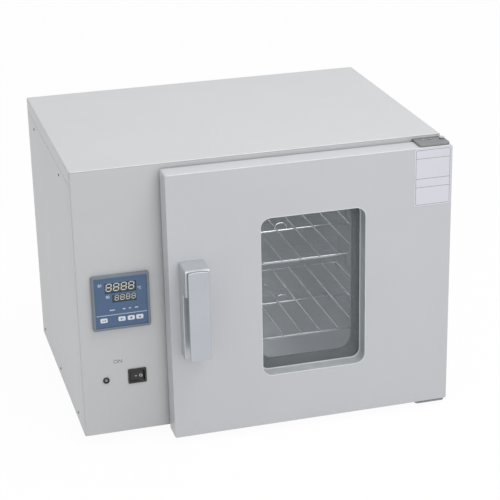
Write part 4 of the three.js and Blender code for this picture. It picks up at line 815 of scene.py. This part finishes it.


# %% [markdown]
# ## Painted shade in the seams
# The cover's flange stops just above each side panel, and each side panel stops just behind the
# front sheet. A dark strip fills each of these narrow gaps in place of the shade there. It is painted
# shade, which draws the dark line that is seen round the corner of the cabinet. Each strip is set
# back a little from the sheets around it.

# %% Painted seam shade
def seam_shade_strip(name, side_node, edge_x, inward):
    """The dark level strip under the cover's flange and the upright one behind the front sheet,
    painted shade in the gaps.
    """
    cover_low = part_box("top_cover")[0]
    side_low, side_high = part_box(side_node)
    near, deep, clear, seam = 0.25 * mm, 1.35 * mm, 0.05 * mm, 0.9 * mm
    x_low, x_high = sorted((edge_x + inward * near, edge_x + inward * deep))
    made = bmesh.new()
    block(made, (x_low, side_low[1] + clear, cover_low[2] - seam),
          (x_high, side_high[1] - clear, cover_low[2]))
    block(made, (x_low, side_low[1] - seam, side_low[2] + clear),
          (x_high, side_low[1], cover_low[2] - seam - clear))
    strip = new_piece(name, made, seam_shade_dark)
    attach(strip, body_of[side_node])
    print(name, "strips", round((deep - near) / mm, 1), "mm deep")


cabinet_low, cabinet_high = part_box("back_panel")
seam_shade_strip("left_seam_seal", "left_side_panel", cabinet_low[0], 1)
seam_shade_strip("right_seam_seal", "right_side_panel", cabinet_high[0], -1)

# %% [markdown]
# ## Painted highlights on folded edges
# A fold in gloss paint shows a fine bright line where it turns towards the light. Here that line is
# painted on two folds, the cover's front edge and the door's upper edge: each gets a thin rod with
# rounded ends in a paler paint than the sheet, turned like the screw heads and laid along the fold so
# that only a sliver of it stands out. The sliver is a painted highlight.

# %% Painted highlights on folded edges
def painted_fold_highlight(name, node_name, inset, radius=0.8 * mm):
    """A thin rod in paler paint along the upper front edge of a solid, a painted highlight."""
    low, high = (Vector(corner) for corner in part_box(node_name))
    length = high.x - low.x - 2 * inset
    rod = turned([(0, 0), (0.7 * radius, 0.3 * radius), (radius, radius),
                  (radius, length - radius), (0.7 * radius, length - 0.3 * radius), (0, length)], 16)
    rod.transform(Matrix.Translation((low.x + inset, low.y + 0.65 * radius, high.z - 0.65 * radius))
                  @ Matrix.Rotation(math.radians(90), 4, "Y"))
    piece = new_piece(name, rod, painted_highlight)
    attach(piece, body_of[node_name])
    print(name, round(length / mm, 1), "mm long")


painted_fold_highlight("cover_fold", "top_cover", 3.5 * mm)
painted_fold_highlight("door_fold", "door_skin", 4.5 * mm)

# %% [markdown]
# The screws stand where a sheet-metal cabinet needs them: along each side's upper and lower edge,
# round the rim of the back, and two on the upper hinge bracket. Places are in the oven's millimetres.

# %% Screws on the cabinet and door
left, right, back, up = (-1, 0, 0), (1, 0, 0), (0, 1, 0), (0, 0, 1)
body_width, body_depth = 625, 447
side_places = ((106.5, 428), (373, 427.5), (60, 16), (240, 16), (420, 16))
back_columns, back_rows = (24, 216, 409, 601), (452, 12)
rim_columns, rim_rows = (12, 613), (160, 306)
hinge_columns, hinge_depth, hinge_top = (590, 603), -11, 461.4
set_screws("side_screws", "left_side_panel", small_head, [
    ((x, y, z), direction) for x, direction in ((0, left), (body_width, right))
    for y, z in side_places], dark_steel)
set_screws("back_screws", "back_panel", panel_head, [
    ((x, body_depth, z), back) for x, z in (
        *((x, z) for z in back_rows for x in back_columns),
        *((x, z) for x in rim_columns for z in rim_rows))])
set_screws("hinge_screws", "hinge_bracket_top", panel_head, [
    ((x, hinge_depth, hinge_top), up) for x in hinge_columns])
for head in (panel_head, small_head):
    bpy.data.objects.remove(head)
print("the screws sit on their sheets, so no joint carries them apart")

# %% [markdown]
# ## Display segments
# A segment display draws every figure with seven bars. One bar with pointed ends is placed on points
# that carry a quarter turn and a stretch, and the finished row is sheared a little to the right, as
# such figures are. All seven bars are lit, which gives a row of plain eights.

# %% Segment tree
def surface_of(node_name):
    """The front surface of a solid, as a function from x and z to the y where it is met."""
    made = bmesh.new()
    made.from_mesh(frame["nodes"][node_name].data)
    solid = BVHTree.FromBMesh(made)
    made.free()
    return lambda x, z: solid.ray_cast(Vector((x, -1.0, z)), Vector((0, 1, 0)))[0].y


def slab(made, outline, back_y, thickness):
    """Adds a thin plate drawn in x and z. Its back lies at the y that back_y gives for a corner."""
    near = [made.verts.new((x, back_y(x, z) - thickness, z)) for x, z in outline]
    far = [made.verts.new((x, back_y(x, z), z)) for x, z in outline]
    made.faces.new(near)
    made.faces.new(list(reversed(far)))
    for i in range(len(near)):
        j = (i + 1) % len(near)
        made.faces.new((near[j], near[i], far[i], far[j]))


def segment_tree():
    tree, start = new_tree("segment row", True, Bar="Object", Slant="Float", Origin="Vector",
                           Material="Material")
    turn = node(tree, "GeometryNodeInputNamedAttribute", data_type="FLOAT")
    turn.inputs["Name"].default_value = "turn"
    stretch = node(tree, "GeometryNodeInputNamedAttribute", data_type="FLOAT")
    stretch.inputs["Name"].default_value = "stretch"
    bar = node(tree, "GeometryNodeObjectInfo")
    placed = node(tree, "GeometryNodeInstanceOnPoints")
    tree.links.new(start.outputs["Mesh"], placed.inputs["Points"])
    tree.links.new(start.outputs["Bar"], bar.inputs["Object"])
    tree.links.new(bar.outputs["Geometry"], placed.inputs["Instance"])
    tree.links.new(point(tree, 0.0, turn.outputs["Attribute"], 0.0), placed.inputs["Rotation"])
    tree.links.new(point(tree, stretch.outputs["Attribute"], 1.0, 1.0), placed.inputs["Scale"])
    real = node(tree, "GeometryNodeRealizeInstances")
    tree.links.new(placed.outputs["Instances"], real.inputs["Geometry"])
    place = node(tree, "GeometryNodeInputPosition")
    parts = node(tree, "ShaderNodeSeparateXYZ")
    tree.links.new(place.outputs["Position"], parts.inputs[0])
    lean = arithmetic(tree, "MULTIPLY", parts.outputs["Z"], start.outputs["Slant"])
    sheared = node(tree, "GeometryNodeSetPosition")
    tree.links.new(real.outputs["Geometry"], sheared.inputs["Geometry"])
    tree.links.new(point(tree, lean), sheared.inputs["Offset"])
    moved = node(tree, "GeometryNodeTransform")
    tree.links.new(sheared.outputs["Geometry"], moved.inputs["Geometry"])
    tree.links.new(start.outputs["Origin"], moved.inputs["Translation"])
    end_tree(tree, start, moved.outputs["Geometry"])
    return tree


figure_slant = 0.09
bar_thickness = 0.1 * mm


def segment_row(name, tree, low_left, width, height, pitch, stroke, figures=4):
    """A row of figures on the display pane, with its lower left corner at x and z of the oven."""
    corner = at(low_left[0], 0, low_left[1])
    corner.y = surface_of("display_window")(corner.x, corner.z)
    bar_length = width - 0.5 * stroke
    upright = (height / 2 - 0.5 * stroke) / bar_length
    shape = bmesh.new()
    half, tip = bar_length / 2, stroke / 2
    slab(shape, [(-half, 0), (tip - half, -tip), (half - tip, -tip), (half, 0), (half - tip, tip),
                 (tip - half, tip)], lambda x, z: 0.0, bar_thickness)
    bar = new_piece(name + "_bar", shape, digit_glow)
    quarter = math.pi / 2
    bars = [(width / 2, 0, 0, 1), (width / 2, height / 2, 0, 1), (width / 2, height, 0, 1),
            (0, height / 4, quarter, upright), (0, height * 3 / 4, quarter, upright),
            (width, height / 4, quarter, upright), (width, height * 3 / 4, quarter, upright)]
    rows = [(figure * pitch + x, z, turn, stretch) for figure in range(figures)
            for x, z, turn, stretch in bars]
    mesh = bpy.data.meshes.new(name)
    mesh.from_pydata([(x, 0, z) for x, z, turn, stretch in rows], [], [])
    mesh.attributes.new("turn", "FLOAT", "POINT").data.foreach_set(
        "value", [turn for x, z, turn, stretch in rows])
    mesh.attributes.new("stretch", "FLOAT", "POINT").data.foreach_set(
        "value", [stretch for x, z, turn, stretch in rows])
    made = grow(name, tree, mesh, Bar=bar, Slant=figure_slant, Origin=tuple(corner),
                Material=digit_glow)
    bpy.data.objects.remove(bar)
    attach(made, body_of["controller_face"])
    print(name, figures, "figures,", len(rows), "bars")


# %% [markdown]
# Two rows share the one tree. The upper is larger, and each is placed by its lower left corner.

# %% Display rows
segments = segment_tree()
segment_row("upper_figures", segments, (48.0, 258.6), 8.2 * mm, 12.4 * mm, 12.5 * mm, 1.7 * mm)
segment_row("lower_figures", segments, (62.0, 241.4), 5.8 * mm, 8.8 * mm, 9.3 * mm, 1.1 * mm)

# %% [markdown]
# ## Printed marks
# The print on the controller, keys and switch is thin enough to be drawn as plates a tenth of a
# millimetre thick. Only plain marks are used: numbers for the two rows, the degree sign, arrows on
# the keys, the word ON over the lamp, and a bar and a ring on the rocker. A plate is laid on its solid
# by looking along the oven's depth for the surface, so it follows a tilted rocker too.

# %% Mark tools
def front_box(node_name):
    """Left, right, bottom and top of a solid, in millimetres in the oven's x and z."""
    low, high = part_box(node_name)
    origin = at(0, 0, 0)
    return [(corner[axis] - origin[axis]) / mm for axis in (0, 2) for corner in (low, high)]


def rounded(low_x, low_z, high_x, high_z, radius, steps=5):
    """The outline of a rounded rectangle, counter-clockwise seen from the front."""
    outline = []
    for centre_x, centre_z, start in ((high_x - radius, high_z - radius, 0),
                                      (low_x + radius, high_z - radius, 90),
                                      (low_x + radius, low_z + radius, 180),
                                      (high_x - radius, low_z + radius, 270)):
        for i in range(steps + 1):
            angle = math.radians(start + 90 * i / steps)
            outline.append((centre_x + radius * math.cos(angle),
                            centre_z + radius * math.sin(angle)))
    return outline


def ring(centre_x, centre_z, radius, thin, steps=28):
    """The outlines of the short plates that a flat ring is made of."""
    plates = []
    for i in range(steps):
        a, b = math.tau * i / steps, math.tau * (i + 1) / steps
        plates.append([(centre_x + r * math.cos(angle), centre_z + r * math.sin(angle))
                       for r, angle in ((radius, a), (radius, b), (radius - thin, b),
                                        (radius - thin, a))])
    return plates


def marks(name, on, material, outlines, proud=0.1, lift=0.0):
    """Thin plates lying on the front of a solid. Outlines are millimetres in the oven's x and z."""
    front = surface_of(on)
    made = bmesh.new()
    for outline in outlines:
        corners = [at(x, 0, z) for x, z in outline]
        slab(made, [(corner.x, corner.z) for corner in corners],
             lambda x, z: front(x, z) - lift * mm, proud * mm)
    bmesh.ops.recalc_face_normals(made, faces=made.faces)
    piece = new_piece(name, made, material)
    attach(piece, body_of[on])
    print(name, len(outlines), "plates")


def lettering(name, on, words, size, x, z, material, weight=0.0, proud=0.1):
    """A word in Blender's own letters, lying on the front of a solid."""
    place = at(x, 0, z)
    place.y = surface_of(on)(place.x, place.z) - proud / 2 * mm
    curve = bpy.data.curves.new(name, "FONT")
    curve.body = words
    curve.size = size * mm
    curve.extrude = proud / 2 * mm
    curve.offset = weight * mm
    curve.resolution_u = 3
    piece = bpy.data.objects.new(name, curve)
    scene.collection.objects.link(piece)
    graph = bpy.context.evaluated_depsgraph_get()
    graph.update()
    mesh = bpy.data.meshes.new_from_object(piece.evaluated_get(graph))
    bpy.data.objects.remove(piece)
    mesh.transform(Matrix.Translation(place) @ Matrix.Rotation(math.radians(90), 4, "X"))
    mesh.materials.clear()
    mesh.materials.append(material)
    word = bpy.data.objects.new(name, mesh)
    scene.collection.objects.link(word)
    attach(word, body_of[on])
    print(name, words)


def oblong(x, z, width, height, radius=0.3):
    return rounded(x - width / 2, z - height / 2, x + width / 2, z + height / 2, radius, 3)


# %% Controller print
line_inset, line_low, line_high = 1, 216.6, 217.4
lamp_mark_height = 1.5
lamp_marks = ((56.5, 225.4, 8.5), (76.0, 225.6, 4.6), (85.6, 225.6, 3.6), (96.8, 225.6, 5.6))
face_left, face_right = front_box("controller_face")[:2]
marks("face_line", "controller_face", print_white,
      [[(face_left + line_inset, line_low), (face_right - line_inset, line_low),
        (face_right - line_inset, line_high), (face_left + line_inset, line_high)]])
marks("face_lamps", "controller_face", print_white,
      [oblong(x, z, width, lamp_mark_height) for x, z, width in lamp_marks])
lettering("upper_row_mark", "controller_face", "01", 7.0, 34.6, 268.2, print_white, 0.12)
lettering("lower_row_mark", "controller_face", "02", 6.4, 46.8, 247.2, print_white, 0.12)
lettering("degree_mark", "controller_face", "\u00b0C", 6.0, 99.4, 257.6, print_white, 0.1)

# %% [markdown]
# Each key has a mark of its own at its centre: a bar and a block on the first, and arrows on the
# others. A triangle needs only its three points, so the arrows are typed as outlines.

# %% Key glyphs
def key_glyph(name, outlines):
    """Dark shapes on a key, drawn in millimetres from its centre."""
    left_edge, right_edge, low_edge, high_edge = front_box(name)
    middle_x, middle_z = (left_edge + right_edge) / 2, (low_edge + high_edge) / 2
    marks(name + "_glyph", name, print_dark,
          [[(middle_x + x, middle_z + z) for x, z in outline] for outline in outlines], 0.08)


key_glyph("key_set", [oblong(-1.6, 0, 3.4, 0.9, 0.2), oblong(2.0, 0, 1.6, 2.8, 0.2)])
key_glyph("key_left", [[(-3.0, 0), (-0.8, -1.9), (-0.8, 1.9)],
                       [(-0.8, -0.5), (2.8, -0.5), (2.8, 0.5), (-0.8, 0.5)]])
key_glyph("key_down", [[(0, -2.1), (2.3, 1.3), (-2.3, 1.3)]])
key_glyph("key_up", [[(0, 2.1), (-2.3, -1.3), (2.3, -1.3)]])

# %% [markdown]
# The word is text turned into a mesh. The ring is made of short plates, because each of them can
# follow the rocker's tilted face.

# %% Lamp and switch print
lettering("power_word", "front_panel", "ON", 9.6, 54.2, 126.8, print_grey)
marks("rocker_off", "switch_rocker", print_white, ring(98.6, 100.4, 2.5, 0.8))
marks("rocker_on", "switch_rocker", print_white, [oblong(90.6, 99.6, 3.2, 0.9, 0.2)])

# %% [markdown]
# ## Door label
# A pale plate with a thin grey border is stuck on the door's upper right corner. It carries no
# words. Three lines across it divide it into rows for whatever a user wants to write there.

# %% Label plate
label_left, label_right, label_low, label_high = 564.0, 628.0, 357.0, 456.0
plate_corner, plate_thickness = 4.0, 0.35
border_corner, inset, line, ink = 3.0, 1.9, 0.7, 0.08
row_shares = (0.17, 0.52, 0.67)
marks("door_label", "door_skin", label_white,
      [rounded(label_left, label_low, label_right, label_high, plate_corner)], plate_thickness)
rows = [label_high - share * (label_high - label_low) for share in row_shares]
frame_lines = [
    [(label_left + inset, z - line / 2), (label_right - inset, z - line / 2),
     (label_right - inset, z + line / 2), (label_left + inset, z + line / 2)] for z in rows]
outer = rounded(label_left + inset, label_low + inset, label_right - inset, label_high - inset,
                border_corner)
inner = rounded(label_left + inset + line, label_low + inset + line, label_right - inset - line,
                label_high - inset - line, border_corner - line)
border = [[outer[i], outer[j], inner[j], inner[i]]
          for i, j in ((i, (i + 1) % len(outer)) for i in range(len(outer)))]
marks("door_label_lines", "door_skin", label_line, frame_lines + border, ink, plate_thickness)
print("label", label_right - label_left, "by", label_high - label_low, "mm")
